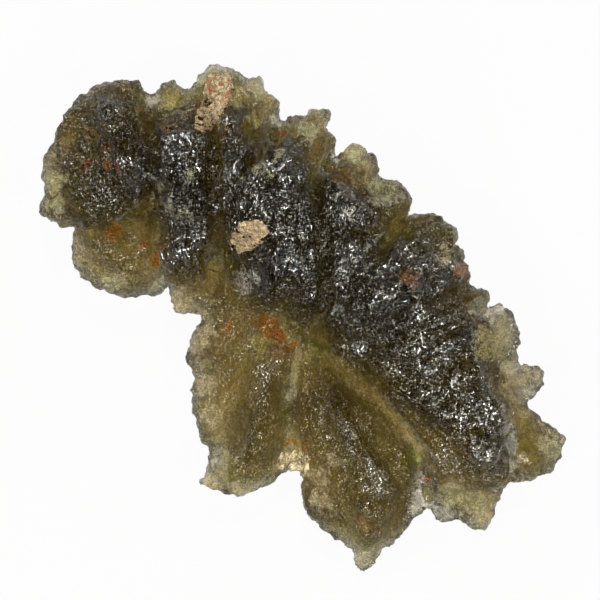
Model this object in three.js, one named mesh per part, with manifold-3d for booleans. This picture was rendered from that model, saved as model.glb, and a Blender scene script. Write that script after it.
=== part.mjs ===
// A raw moldavite: one piece of olive-brown natural glass, etched by the soil into a thick,
// curved ridge with scalloped lobes and, below it, a thinner skirt that fans out like a leaf.
//
// Millimetres, +Z up. The stone lies flat on three worn bumps at Z = 0, its ridge running from
// the left lobe (-X, +Y) down to the right (+X, 0) and its skirt reaching out towards -Y.
//
// The body is four sculpted slabs that have grown into each other. Each slab is an outline with
// an upper and a lower surface, which swell from a thin rim to a crown, carry crests, troughs
// and pits where the stone has them, and are covered all over in shallow etched cups.
import * as THREE from "three";
import { mergeVertices } from "three/addons/utils/BufferGeometryUtils.js";
import Module from "manifold-3d";

const wasm = await Module();
wasm.setup();

// ---- driving dimensions -----------------------------------------------------------------

// Each slab's middle surface lies at a height, give or take its sway. It is rim thick along its
// outline and swells by its crown above and its keel below, fully so a shoulder inside the rim.
const RIDGE = { height: 4.7, sway: 0.7, rim: 0.5, crown: 6.0, keel: 4.5, shoulder: 5.0, seed: 1 };
const SKIRT = { height: 2.8, sway: 0.6, rim: 0.45, crown: 1.5, keel: 2.2, shoulder: 3.2, seed: 2 };
const SPUR = { height: 3.4, sway: 0.4, rim: 0.5, crown: 1.6, keel: 1.9, shoulder: 2.6, seed: 4 };
const BUTTRESS = { height: 4.0, sway: 0.5, rim: 1.2, crown: 3.6, keel: 3.0, shoulder: 3.0, seed: 5 };
const SWELL_SOFTNESS = 0.6; // 0 swells like the side of a ball, 1 like a soft slope
const LEDGE_STEEPNESS = 1.6; // how much faster a slab swells from a ledge than from its rim

const BLOCK = { across: 38, high: 30 }; // what each slab is sculpted from
const LATTICE = 0.8; // spacing of the points that carry the two surfaces
const NUDGE = 0.25; // how far a point strays off its lattice place, in spacings
const SNAP = 0.34; // how near a rim, crest or trough a point moves onto it, in spacings
const RIM_STEP = 0.5; // spacing of the points along an outline
const THINNEST = 0.35; // least thickness anywhere

const CUPS = [
  { across: 3.3, deep: 0.8 },
  { across: 1.9, deep: 0.4 },
];

const FOOT = { across: 4.4, below: 0.4 }; // bumps on the underside, worn flat where it rests
const FEET = [
  [-11.5, 9.6],
  [6.8, 5.0],
  [1.6, -9.2],
];

// ---- outlines, clockwise as seen from above ----------------------------------------------

const LEFT_LOBE_RIM = [
  [-15.2, 6.15], [-16.0, 6.2], [-16.4, 6.5], [-16.8, 6.85], [-17.25, 7.1], [-17.2, 7.75],
  [-16.95, 8.5], [-17.05, 9.0], [-17.3, 9.35], [-17.2, 9.8], [-16.95, 10.05], [-17.1, 10.4],
  [-17.25, 10.7], [-17.0, 11.1], [-16.7, 11.7], [-16.25, 12.4], [-15.85, 13.15], [-15.55, 13.75],
  [-15.2, 14.2], [-14.7, 14.5], [-14.2, 14.8], [-14.0, 15.3], [-13.4, 15.45], [-12.9, 15.6],
  [-12.3, 15.7], [-11.2, 15.7], [-10.75, 15.45], [-10.4, 15.05], [-10.0, 14.8],
];
const CREST_LOBES_RIM = [
  [-9.6, 14.95], [-9.3, 15.3], [-9.0, 15.65], [-8.5, 15.75], [-8.15, 15.55], [-8.0, 15.2],
  [-7.5, 15.3], [-7.05, 15.5], [-6.8, 16.0], [-6.5, 16.3], [-6.3, 16.7], [-5.7, 16.8],
  [-5.05, 16.6], [-4.5, 16.45], [-4.05, 16.1], [-3.5, 15.95], [-3.15, 16.05], [-2.8, 16.0],
  [-2.6, 15.7], [-2.6, 15.25], [-2.75, 14.95], [-2.3, 14.7], [-2.0, 14.5], [-1.7, 14.25],
  [-1.6, 13.7], [-1.55, 13.1], [-1.7, 12.7], [-1.5, 12.8], [-1.1, 13.2], [-0.9, 13.35],
  [-0.1, 13.5], [0.5, 13.75], [1.1, 14.05], [1.6, 13.85], [1.75, 13.5], [1.55, 13.1],
  [1.25, 12.85], [1.4, 12.5], [1.95, 12.1], [2.0, 11.5], [2.1, 11.2], [1.95, 10.85],
  [1.85, 10.6],
];
const RIGHT_LOBES_RIM = [
  [2.25, 10.65], [2.6, 10.9], [3.1, 11.4], [3.45, 11.55], [3.8, 11.4], [4.0, 11.0],
  [4.5, 10.85], [4.8, 10.6], [4.8, 10.0], [4.95, 9.45], [5.4, 9.15], [6.0, 8.95], [6.45, 8.9],
  [6.6, 8.55], [7.05, 8.0], [6.85, 7.4], [6.65, 7.0], [6.4, 6.6], [7.1, 6.85], [7.95, 6.95],
  [8.85, 6.95], [9.1, 6.75], [9.15, 6.25], [9.45, 6.3], [9.8, 6.05], [9.95, 5.7], [9.8, 5.25],
  [9.6, 5.1], [10.05, 4.85], [10.4, 4.25], [10.65, 3.55], [10.85, 2.8], [10.9, 2.2],
  [11.3, 2.15], [11.7, 2.05], [12.05, 1.4], [11.85, 0.9], [11.65, 0.5],
];
const RIDGE_LEDGE = [
  [11.2, -0.5], [10.4, -1.3], [9.2, -1.9], [7.5, -2.15], [6.0, -2.2], [4.2, -2.5], [2.2, -2.3],
  [1.9, -1.1], [1.0, -0.6], [-0.3, -0.2], [-1.5, 0.8], [-3.0, 0.5], [-3.9, 1.2], [-4.6, 2.3],
  [-5.2, 3.6], [-5.5, 4.2], [-5.8, 3.5], [-6.1, 2.8], [-6.8, 2.35], [-8.0, 2.3], [-9.0, 2.65],
  [-9.6, 3.2], [-9.8, 4.6], [-10.0, 5.7], [-10.8, 6.35], [-12.0, 6.1], [-13.3, 6.1],
  [-14.2, 6.3],
];

const SPUR_RIM = [
  [-9.0, 2.4], [-9.3, 2.15], [-9.9, 1.85], [-10.8, 1.75], [-11.6, 1.6], [-12.3, 1.65],
  [-12.8, 1.85], [-13.1, 2.1], [-13.9, 2.3], [-14.5, 2.65], [-14.8, 3.1], [-15.2, 3.7],
  [-15.4, 4.15], [-15.35, 4.55], [-15.1, 5.0], [-15.0, 5.6], [-14.95, 6.1],
];
const SPUR_ROOT = [[-13.6, 7.6], [-11.2, 7.9], [-8.8, 6.2], [-8.5, 3.6]];

const EAST_RIM = [
  [12.15, 0.8], [12.8, 1.05], [13.25, 0.9], [13.85, 0.55], [14.05, -0.1], [14.45, -0.8],
  [14.4, -1.45], [14.1, -1.9], [14.2, -2.45], [14.15, -2.95], [14.45, -3.05], [15.05, -3.1],
  [16.0, -3.4], [15.9, -3.9], [16.0, -4.4], [15.65, -4.8], [15.2, -4.95], [15.0, -5.4],
  [15.0, -6.0], [15.55, -6.3], [16.0, -6.9], [16.7, -7.2], [17.05, -7.5], [17.5, -7.95],
  [17.25, -8.55], [17.25, -9.0], [16.75, -9.65], [16.5, -10.25], [15.95, -10.4],
  [15.45, -10.55], [14.95, -10.9], [14.45, -10.8], [13.8, -10.8], [13.45, -11.0],
];
const SOUTH_RIM = [
  [13.15, -11.5], [12.9, -12.2], [12.6, -12.75], [12.4, -13.4], [12.0, -13.7], [11.45, -13.9],
  [11.0, -13.7], [10.7, -13.4], [10.25, -13.15], [9.8, -13.25], [9.4, -13.45], [8.9, -13.35],
  [8.7, -12.9], [8.4, -12.55], [8.0, -12.25], [7.8, -12.8], [7.4, -13.0], [7.05, -13.6],
  [6.65, -14.1], [6.1, -14.8], [5.45, -15.05], [4.95, -15.45], [4.65, -16.0], [4.3, -16.5],
  [4.05, -16.8], [3.75, -16.55], [3.5, -16.25], [3.3, -15.85], [3.25, -15.25], [2.8, -15.05],
  [2.25, -14.5], [1.5, -14.1], [0.95, -13.45], [0.5, -12.95], [0.1, -12.3], [0.0, -11.6],
  [0.05, -10.8], [-0.05, -10.15],
];
const WEST_RIM = [
  [-1.0, -10.05], [-1.9, -10.25], [-2.55, -10.75], [-3.15, -11.0], [-3.5, -11.45],
  [-4.05, -11.6], [-5.0, -11.45], [-5.95, -11.2], [-7.0, -10.8], [-6.65, -10.4],
  [-6.5, -9.85], [-6.3, -9.1], [-6.35, -8.45], [-6.8, -7.9], [-7.05, -7.05], [-7.35, -6.1],
  [-7.4, -5.25], [-7.6, -4.5], [-7.3, -3.95], [-7.45, -3.35], [-7.8, -2.85], [-7.8, -2.25],
  [-7.5, -1.75], [-7.5, -0.9], [-6.95, -0.25], [-6.85, 0.4],
];
const TAB_RIM = [[-7.85, 0.55], [-8.4, 0.6], [-8.75, 1.05], [-8.85, 1.8], [-8.8, 2.9]];
const SKIRT_ROOT = [[-7.2, 4.6], [-4.6, 5.8], [-1.0, 4.4], [4.0, 3.0], [9.0, 2.4], [11.2, 1.4]];

const BUTTRESS_LEDGE = [
  [11.6, 0.4], [12.4, -1.2], [12.7, -3.2], [13.1, -5.0], [13.5, -6.8], [13.8, -8.6],
  [13.7, -10.1], [12.9, -10.8],
];
const BUTTRESS_FOOT = [
  [11.6, -11.1], [10.5, -10.9], [9.6, -10.1], [8.9, -8.9], [7.8, -7.7], [6.6, -6.3],
  [5.2, -4.8], [3.6, -3.6], [2.4, -2.0], [3.0, 1.5],
];

// ---- crests, troughs and pits -------------------------------------------------------------

// Each line starts where the feature is faint and ends where it is at its full height or depth.
const RIDGE_CRESTS = [
  { line: [[5.3, 4.2], [4.6, 6.1], [2.4, 7.5]], wide: 0.9, high: 0.8 },
  { line: [[3.4, 5.2], [2.4, 7.5], [0.4, 9.4]], wide: 0.9, high: 0.7 },
  { line: [[-15.9, 7.3], [-14.9, 7.1], [-13.4, 6.3]], wide: 1.0, high: 0.9 },
  { line: [[-12.6, 12.8], [-10.8, 12.6], [-9.4, 11.2], [-9.0, 9.0]], wide: 1.3, high: 1.0 },
  { line: [[-9.4, 7.0], [-7.9, 8.0], [-6.9, 7.4]], wide: 1.0, high: 0.9 },
  { line: [[-4.2, 9.0], [-2.4, 10.0], [-0.4, 10.9]], wide: 1.0, high: 1.0 },
  { line: [[6.4, 1.0], [8.0, 1.8], [9.4, 2.1]], wide: 0.8, high: 0.7 },
  { line: [[-2.6, 8.2], [-1.9, 4.8], [-2.2, 2.4]], wide: 1.2, high: 0.6 },
];
const RIDGE_TROUGHS = [
  { line: [[-9.6, 9.4], [-10.1, 12.0], [-10.0, 14.8]], wide: 1.3, deep: 2.4 },
  { line: [[-5.5, 4.4], [-5.7, 8.0], [-5.8, 10.6], [-6.1, 14.0]], wide: 1.2, deep: 2.5 },
  { line: [[-4.0, 10.9], [-2.7, 11.5], [-1.7, 12.7]], wide: 1.4, deep: 2.2 },
  { line: [[-0.2, 8.4], [0.9, 9.6], [1.9, 10.7]], wide: 1.1, deep: 1.7 },
  { line: [[3.9, 5.2], [5.2, 5.9], [6.4, 6.6]], wide: 1.2, deep: 1.1 },
  { line: [[7.4, 0.6], [9.6, 0.9], [11.7, 0.5]], wide: 1.2, deep: 1.5 },
  { line: [[-9.1, 8.6], [-9.7, 7.0], [-9.9, 5.7]], wide: 1.2, deep: 2.8 },
  { line: [[1.4, 5.6], [1.5, 3.4], [1.4, 1.6]], wide: 0.9, deep: 1.1 },
];
const RIDGE_PITS = [
  { at: [-13.4, 9.9], wide: 3.4, deep: 2.3 },
  { at: [-8.1, 13.9], wide: 1.7, deep: 1.3 },
  { at: [3.9, 5.3], wide: 1.1, deep: 1.3 },
  { at: [-6.1, 14.0], wide: 1.2, deep: 0.9 },
  { at: [-3.6, 5.3], wide: 1.1, deep: 0.8 },
  { at: [6.9, 2.8], wide: 1.1, deep: 0.9 },
  { at: [4.2, 9.0], wide: 2.1, deep: 0.9 },
];
const SKIRT_CRESTS = [
  { line: [[1.4, -3.4], [2.8, -7.0], [4.4, -10.8], [4.4, -14.2]], wide: 1.7, high: 1.3 },
  { line: [[-1.6, -2.6], [-3.0, -5.4], [-3.4, -8.4], [-4.4, -10.6]], wide: 1.9, high: 1.4 },
  { line: [[12.9, -9.0], [14.6, -8.6], [16.4, -8.3]], wide: 1.2, high: 0.6 },
  { line: [[12.6, -3.6], [14.0, -3.7], [15.6, -3.7]], wide: 1.0, high: 0.6 },
];
const SKIRT_TROUGHS = [
  { line: [[5.4, -4.6], [7.6, -8.0], [9.2, -10.6], [8.1, -12.2]], wide: 1.8, deep: 1.3 },
  { line: [[-0.9, -3.4], [-0.9, -7.0], [-0.4, -10.0]], wide: 1.5, deep: 1.2 },
  { line: [[12.6, -2.6], [13.6, -6.0], [15.0, -5.8]], wide: 1.2, deep: 0.8 },
];
const SKIRT_PITS = [
  { at: [-2.1, -0.6], wide: 1.7, deep: 1.2 },
  { at: [12.3, -0.9], wide: 1.5, deep: 0.6 },
  { at: [0.9, -1.9], wide: 1.2, deep: 0.7 },
];
const SPUR_TROUGHS = [{ line: [[-10.6, 5.6], [-10.2, 3.6], [-9.2, 2.3]], wide: 1.2, deep: 0.9 }];
const BUTTRESS_TROUGHS = [
  { line: [[6.4, -3.0], [9.2, -3.4], [12.4, -3.2]], wide: 1.2, deep: 1.3 },
  { line: [[7.4, -5.4], [9.4, -7.2], [10.4, -9.6]], wide: 1.1, deep: 1.0 },
];

// The underside: long troughs that run out to the notches of the rim.
const UNDER_TROUGHS = [
  { line: [[-12.6, 9.6], [-14.6, 10.6], [-17.0, 9.9]], wide: 1.6, deep: 1.8 },
  { line: [[-9.8, 8.6], [-9.6, 12.0], [-10.0, 14.8]], wide: 1.6, deep: 2.2 },
  { line: [[-6.0, 7.8], [-5.8, 10.4], [-6.2, 15.6]], wide: 1.7, deep: 1.6 },
  { line: [[-8.3, 12.4], [-8.6, 15.6]], wide: 1.5, deep: 1.4 },
  { line: [[-4.1, 12.2], [-4.4, 16.2]], wide: 1.9, deep: 1.6 },
  { line: [[-2.6, 7.2], [-2.0, 10.0], [-1.7, 12.7]], wide: 1.7, deep: 2.3 },
  { line: [[1.0, 5.6], [1.6, 8.2], [1.9, 10.7]], wide: 1.5, deep: 2.0 },
  { line: [[3.6, 1.0], [5.0, 2.2], [9.0, 2.8], [11.8, 0.6]], wide: 1.5, deep: 1.7 },
  { line: [[-0.4, 2.0], [-0.6, -4.0], [-0.4, -10.0]], wide: 1.8, deep: 1.5 },
  { line: [[5.2, -3.0], [7.4, -8.0], [8.1, -12.2]], wide: 1.7, deep: 1.3 },
  { line: [[9.0, -5.4], [12.2, -7.4], [13.8, -10.8]], wide: 1.5, deep: 1.1 },
];

// ---- noise ---------------------------------------------------------------------------------

/** A fixed pseudo-random number from 0 to 1 for whole numbers a, b and c. */
function hash(a, b, c) {
  const mixed = Math.sin(a * 127.1 + b * 311.7 + c * 74.7) * 43758.5453;
  return mixed - Math.floor(mixed);
}

/** How far (x, y) lies into an etched cup, from 1 at its middle to 0 on the crest beside it. */
function cup(x, y, across, seed) {
  const column = Math.floor(x / across);
  const row = Math.floor(y / across);
  let nearest = Infinity;
  for (let i = column - 1; i <= column + 1; i++)
    for (let j = row - 1; j <= row + 1; j++) {
      const cupX = (i + hash(i, j, seed)) * across;
      const cupY = (j + hash(j, i, seed + 1)) * across;
      nearest = Math.min(nearest, Math.hypot(x - cupX, y - cupY));
    }
  return Math.max(0, 1 - (nearest / (0.8 * across)) ** 2);
}

/** Depth of all the cups at a point, about zero on average. */
function etching(x, y, seed) {
  return CUPS.reduce((sum, { across, deep }) => sum + deep * (cup(x, y, across, seed) - 0.5), 0);
}

/** Height of a slab's middle surface at (x, y), which waves slowly up and down. */
function middleOf({ height, sway, seed }, x, y) {
  const rolling = 0.6 * Math.sin(0.33 * x + 0.21 * y + seed);
  const pitching = 0.4 * Math.cos(0.46 * y - 0.19 * x + 2 * seed);
  return height + sway * (rolling + pitching);
}

// ---- distances -----------------------------------------------------------------------------

/** The point of a polyline nearest to (x, y), its distance, and its place along the line, 0 to 1. */
function nearestOn(line, x, y, closed = false) {
  const spans = closed ? line.length : line.length - 1;
  let best = { distance: Infinity };
  for (let i = 0; i < spans; i++) {
    const [ax, ay] = line[i];
    const [bx, by] = line[(i + 1) % line.length];
    const length2 = (bx - ax) ** 2 + (by - ay) ** 2;
    const ahead = (x - ax) * (bx - ax) + (y - ay) * (by - ay);
    const share = THREE.MathUtils.clamp(ahead / length2, 0, 1);
    const foot = [ax + share * (bx - ax), ay + share * (by - ay)];
    const distance = Math.hypot(x - foot[0], y - foot[1]);
    if (distance < best.distance) best = { distance, foot, along: (i + share) / spans };
  }
  return best;
}

/** True where (x, y) is inside a closed outline. */
function inside(outline, x, y) {
  let within = false;
  outline.forEach(([ax, ay], i) => {
    const [bx, by] = outline[(i + 1) % outline.length];
    if (ay > y !== by > y && x < ax + ((y - ay) * (bx - ax)) / (by - ay)) within = !within;
  });
  return within;
}

/** Points at an even spacing along the smooth closed curve through the given ones. */
function evenly(points, step) {
  const path = points.map(([x, y]) => new THREE.Vector3(x, y, 0));
  const curve = new THREE.CatmullRomCurve3(path, true, "centripetal");
  const spaced = curve.getSpacedPoints(Math.round(curve.getLength() / step));
  return spaced.slice(1).map(({ x, y }) => [x, y]);
}

// ---- relief --------------------------------------------------------------------------------

/** Depth of the deepest trough or pit at (x, y). Where two meet they leave a crest. */
function carving(troughs, pits, x, y) {
  const bowl = (distance, wide) => Math.max(0, 1 - (distance / wide) ** 2);
  const depths = [
    ...troughs.map(({ line, wide, deep }) => {
      const { distance, along } = nearestOn(line, x, y);
      return deep * (0.35 + 0.65 * along) * bowl(distance, wide);
    }),
    ...pits.map(({ at, wide, deep }) => deep * bowl(Math.hypot(x - at[0], y - at[1]), wide)),
  ];
  return Math.max(0, ...depths);
}

/** Height of the highest crest at (x, y). */
function cresting(crests, x, y) {
  const heights = crests.map(({ line, wide, high }) => {
    const { distance, along } = nearestOn(line, x, y);
    return high * (0.4 + 0.6 * along) * Math.max(0, 1 - distance / wide) ** 1.3;
  });
  return Math.max(0, ...heights);
}

/** How far a surface has swollen from its rim, 0, to its full crown, 1: part round, part smooth. */
function swell(fromRim, shoulder) {
  const share = Math.min(1, fromRim / shoulder);
  const round = Math.sqrt(1 - (1 - share) ** 2);
  return THREE.MathUtils.lerp(round, share * share * (3 - 2 * share), SWELL_SOFTNESS);
}

/** Depth of the bumps that the stone rests on, at (x, y). */
function footing(x, y) {
  const reach = FEET.map(([fx, fy]) => Math.hypot(x - fx, y - fy) / FOOT.across);
  return Math.max(0, 1 - Math.min(...reach) ** 2);
}

/** Heights of a slab's upper and lower surfaces at (x, y), a distance fromRim inside its rim. */
function surfaces(x, y, fromRim, size, { crests = [], troughs = [], pits = [], beds = [] }) {
  const swollen = swell(fromRim, size.shoulder);
  const soft = Math.min(1, 0.35 + 0.65 * fromRim); // cups and troughs fade out towards the rim
  const middle = middleOf(size, x, y);
  const relief = cresting(crests, x, y) - carving(troughs, pits, x, y) - etching(x, y, size.seed);
  const top = middle + 0.5 * size.rim + size.crown * swollen + soft * relief;

  const hollows = carving(UNDER_TROUGHS, [], x, y) + etching(x, y, size.seed + 7);
  const foot = footing(x, y);
  const keel = Math.min(size.keel * swollen, middle - 0.5 * size.rim);
  let bottom = middle - 0.5 * size.rim - keel + soft * hollows * (1 - foot);
  bottom = THREE.MathUtils.lerp(bottom, -FOOT.below, foot);
  // Where a slab has grown into the one under it, its lower surface lies in that one's middle.
  for (const bed of beds)
    if (inside([...bed.rim, ...bed.ledge], x, y)) bottom = Math.min(bottom, middleOf(bed.size, x, y));
  return [Math.max(top, bottom + THINNEST), bottom];
}

// ---- solids --------------------------------------------------------------------------------

/** A solid that can be joined to others or cut, from a three.js geometry. */
function solidOf(geometry) {
  geometry.deleteAttribute("normal");
  geometry.deleteAttribute("uv");
  const merged = mergeVertices(geometry, 1e-4);
  return new wasm.Manifold(
    new wasm.Mesh({
      numProp: 3,
      vertProperties: merged.attributes.position.array,
      triVerts: new Uint32Array(merged.index.array),
    }),
  );
}

/** A three.js geometry from a solid. */
function geometryOf(solid) {
  const { vertProperties, triVerts } = solid.getMesh();
  const geometry = new THREE.BufferGeometry();
  geometry.setAttribute("position", new THREE.BufferAttribute(vertProperties, 3));
  geometry.setIndex(new THREE.BufferAttribute(triVerts, 1));
  geometry.computeVertexNormals();
  return geometry;
}

/** A lattice point, nudged off the regular grid, or onto a rim, crest or trough that is close. */
function placed(x, y, outline, lines) {
  const nudge = LATTICE * (NUDGE * hash(x, y, 3) - 0.5 * NUDGE);
  const point = [x + nudge, y - nudge];
  const onRim = nearestOn(outline, ...point, true);
  const feet = [onRim, ...lines.map(({ line }) => nearestOn(line, ...point))];
  return feet.find(({ distance }) => distance < SNAP * LATTICE)?.foot ?? point;
}

/** A slab of stone: a block with its two faces sculpted, trimmed to an outline. */
function slab({ rim, ledge, size, ...features }) {
  const outline = evenly([...rim, ...ledge], RIM_STEP);
  const shape = new THREE.Shape(outline.map(([x, y]) => new THREE.Vector2(x, y)));
  const prism = new THREE.ExtrudeGeometry(shape, { depth: BLOCK.high, bevelEnabled: false });
  prism.translate(0, 0, -0.5 * BLOCK.high);

  const steps = Math.round(BLOCK.across / LATTICE);
  const block = new THREE.BoxGeometry(BLOCK.across, BLOCK.across, 2, steps, steps, 1);
  const lines = [...(features.crests ?? []), ...(features.troughs ?? [])];
  const corners = block.attributes.position;
  for (let i = 0; i < corners.count; i++) {
    const [x, y] = placed(corners.getX(i), corners.getY(i), outline, lines);
    const fromRim = inside(outline, x, y)
      ? Math.min(nearestOn(rim, x, y).distance, LEDGE_STEEPNESS * nearestOn(ledge, x, y).distance)
      : 0;
    const [top, bottom] = surfaces(x, y, fromRim, size, features);
    corners.setXYZ(i, x, y, corners.getZ(i) > 0 ? top : bottom);
  }
  return solidOf(block).intersect(solidOf(prism));
}

// ---- the stone -----------------------------------------------------------------------------

const skirt = {
  rim: [...EAST_RIM, ...SOUTH_RIM, ...WEST_RIM, ...TAB_RIM],
  ledge: SKIRT_ROOT,
  size: SKIRT,
  crests: SKIRT_CRESTS,
  troughs: SKIRT_TROUGHS,
  pits: SKIRT_PITS,
};
const spur = { rim: SPUR_RIM, ledge: SPUR_ROOT, size: SPUR, troughs: SPUR_TROUGHS };
const buttress = {
  rim: BUTTRESS_FOOT,
  ledge: BUTTRESS_LEDGE,
  size: BUTTRESS,
  troughs: BUTTRESS_TROUGHS,
  beds: [skirt],
};
const ridge = {
  rim: [...LEFT_LOBE_RIM, ...CREST_LOBES_RIM, ...RIGHT_LOBES_RIM],
  ledge: RIDGE_LEDGE,
  size: RIDGE,
  crests: RIDGE_CRESTS,
  troughs: RIDGE_TROUGHS,
  pits: RIDGE_PITS,
  beds: [skirt, spur],
};
const ground = new THREE.BoxGeometry(BLOCK.across, BLOCK.across, BLOCK.high);
ground.translate(0, 0, -0.5 * BLOCK.high);
const stone = [skirt, spur, buttress, ridge]
  .map(slab)
  .reduce((joined, grown) => joined.add(grown))
  .subtract(solidOf(ground));

const body = geometryOf(stone);
body.computeBoundingBox();
const middle = body.boundingBox.getCenter(new THREE.Vector3());
body.translate(-middle.x, -middle.y, 0);

const glass = new THREE.MeshStandardMaterial({
  color: new THREE.Color(0.2, 0.16, 0.07),
  roughness: 0.25,
  metalness: 0,
});
const moldavite = new THREE.Mesh(body, glass);
moldavite.name = "moldavite";

const part = new THREE.Group();
part.add(moldavite);

export default part;
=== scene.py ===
"""A raw moldavite: olive-brown natural glass, etched by the soil, with soil left in its pits.

Places on the stone are given in millimetres, as the solid model gives them, and everything that
Blender sees is in metres. The stone lies on a pale floor, +Z up.
"""

from __future__ import annotations

import logging
import math
from collections.abc import Sequence
from dataclasses import dataclass
from enum import Enum

import bmesh
import bpy
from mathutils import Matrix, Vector


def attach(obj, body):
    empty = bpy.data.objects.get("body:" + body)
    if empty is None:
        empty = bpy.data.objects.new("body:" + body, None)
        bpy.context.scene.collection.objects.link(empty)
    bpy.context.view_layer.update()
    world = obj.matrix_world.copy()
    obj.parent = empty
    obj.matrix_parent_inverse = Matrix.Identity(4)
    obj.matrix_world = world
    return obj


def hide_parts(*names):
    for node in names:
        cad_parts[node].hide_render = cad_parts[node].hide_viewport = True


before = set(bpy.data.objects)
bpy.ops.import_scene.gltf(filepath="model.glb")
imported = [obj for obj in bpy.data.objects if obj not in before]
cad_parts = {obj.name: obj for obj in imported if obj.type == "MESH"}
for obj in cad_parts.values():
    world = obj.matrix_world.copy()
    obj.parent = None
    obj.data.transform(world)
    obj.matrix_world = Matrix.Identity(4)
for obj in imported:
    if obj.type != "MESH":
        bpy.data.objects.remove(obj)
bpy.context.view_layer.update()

MM = 0.001
NODE = "moldavite"
BODY = "root"

# What the stone's mesh notes on its points, for its material to read.
THICKNESS = "thickness"  # how thick the glass is, mm
SOIL = "soil"  # how strong the soil's stain is, how much it clouds, and how much gloss it leaves
SOIL_COLOUR = "soil_colour"  # the stain's colour
SHEEN = "sheen"  # how strongly the gloss is set here, and what it is set to

Socket = bpy.types.NodeSocket
Feed = float | tuple[float, ...] | Socket
Triple = tuple[float, float, float]
Colour = Triple
Spot = Triple  # x, y and radius, mm
Place = tuple[float, float]  # x and y, mm

log = logging.getLogger("moldavite")


# ---- what a finish or a relief is set by -----------------------------------------------------


@dataclass(frozen=True)
class Band:
    """A stretch of one number, and what it is mapped to, held at both ends.

    Attributes:
        start: Where the stretch starts; it may lie above its end.
        end: Where it ends.
        to: What its start and its end are mapped to.
    """

    start: float
    end: float
    to: tuple[float, float] = (0.0, 1.0)


@dataclass(frozen=True)
class Grain:
    """A noise.

    Attributes:
        size: Across one of its lumps, mm.
        detail: How many finer layers it has.
    """

    size: float
    detail: float


@dataclass(frozen=True)
class Patches:
    """How something comes and goes in patches over the surface.

    Attributes:
        grain: The noise that makes the patches.
        band: What the noise is mapped to.
    """

    grain: Grain
    band: Band


@dataclass(frozen=True)
class Fan:
    """A middle that flutes fan out from.

    Attributes:
        x: Its place across the stone, mm.
        y: Its place up the stone, mm.
        radius: How far out the flutes have their proper width, mm.
    """

    x: float
    y: float
    radius: float


RIDGE_FAN = Fan(-4.0, -8.0, 18.0)
SKIRT_FAN = Fan(-1.0, 5.0, 10.0)
RIDGE_FOOT = (0.25, 0.3)  # the ridge lies where y + 0.25 x is over 0.3 mm
FLUTE_SQUEEZE = 0.32  # how much a flute's length is squeezed in the bent space
CUP_REACH = 0.85  # how far from a cup's middle its crest is, in cup widths
LOWEST = (-1.0, -1.0, 0.0)  # the lowest place that a point may have, m: only its height counts


# ---- helpers ---------------------------------------------------------------------------------


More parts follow.
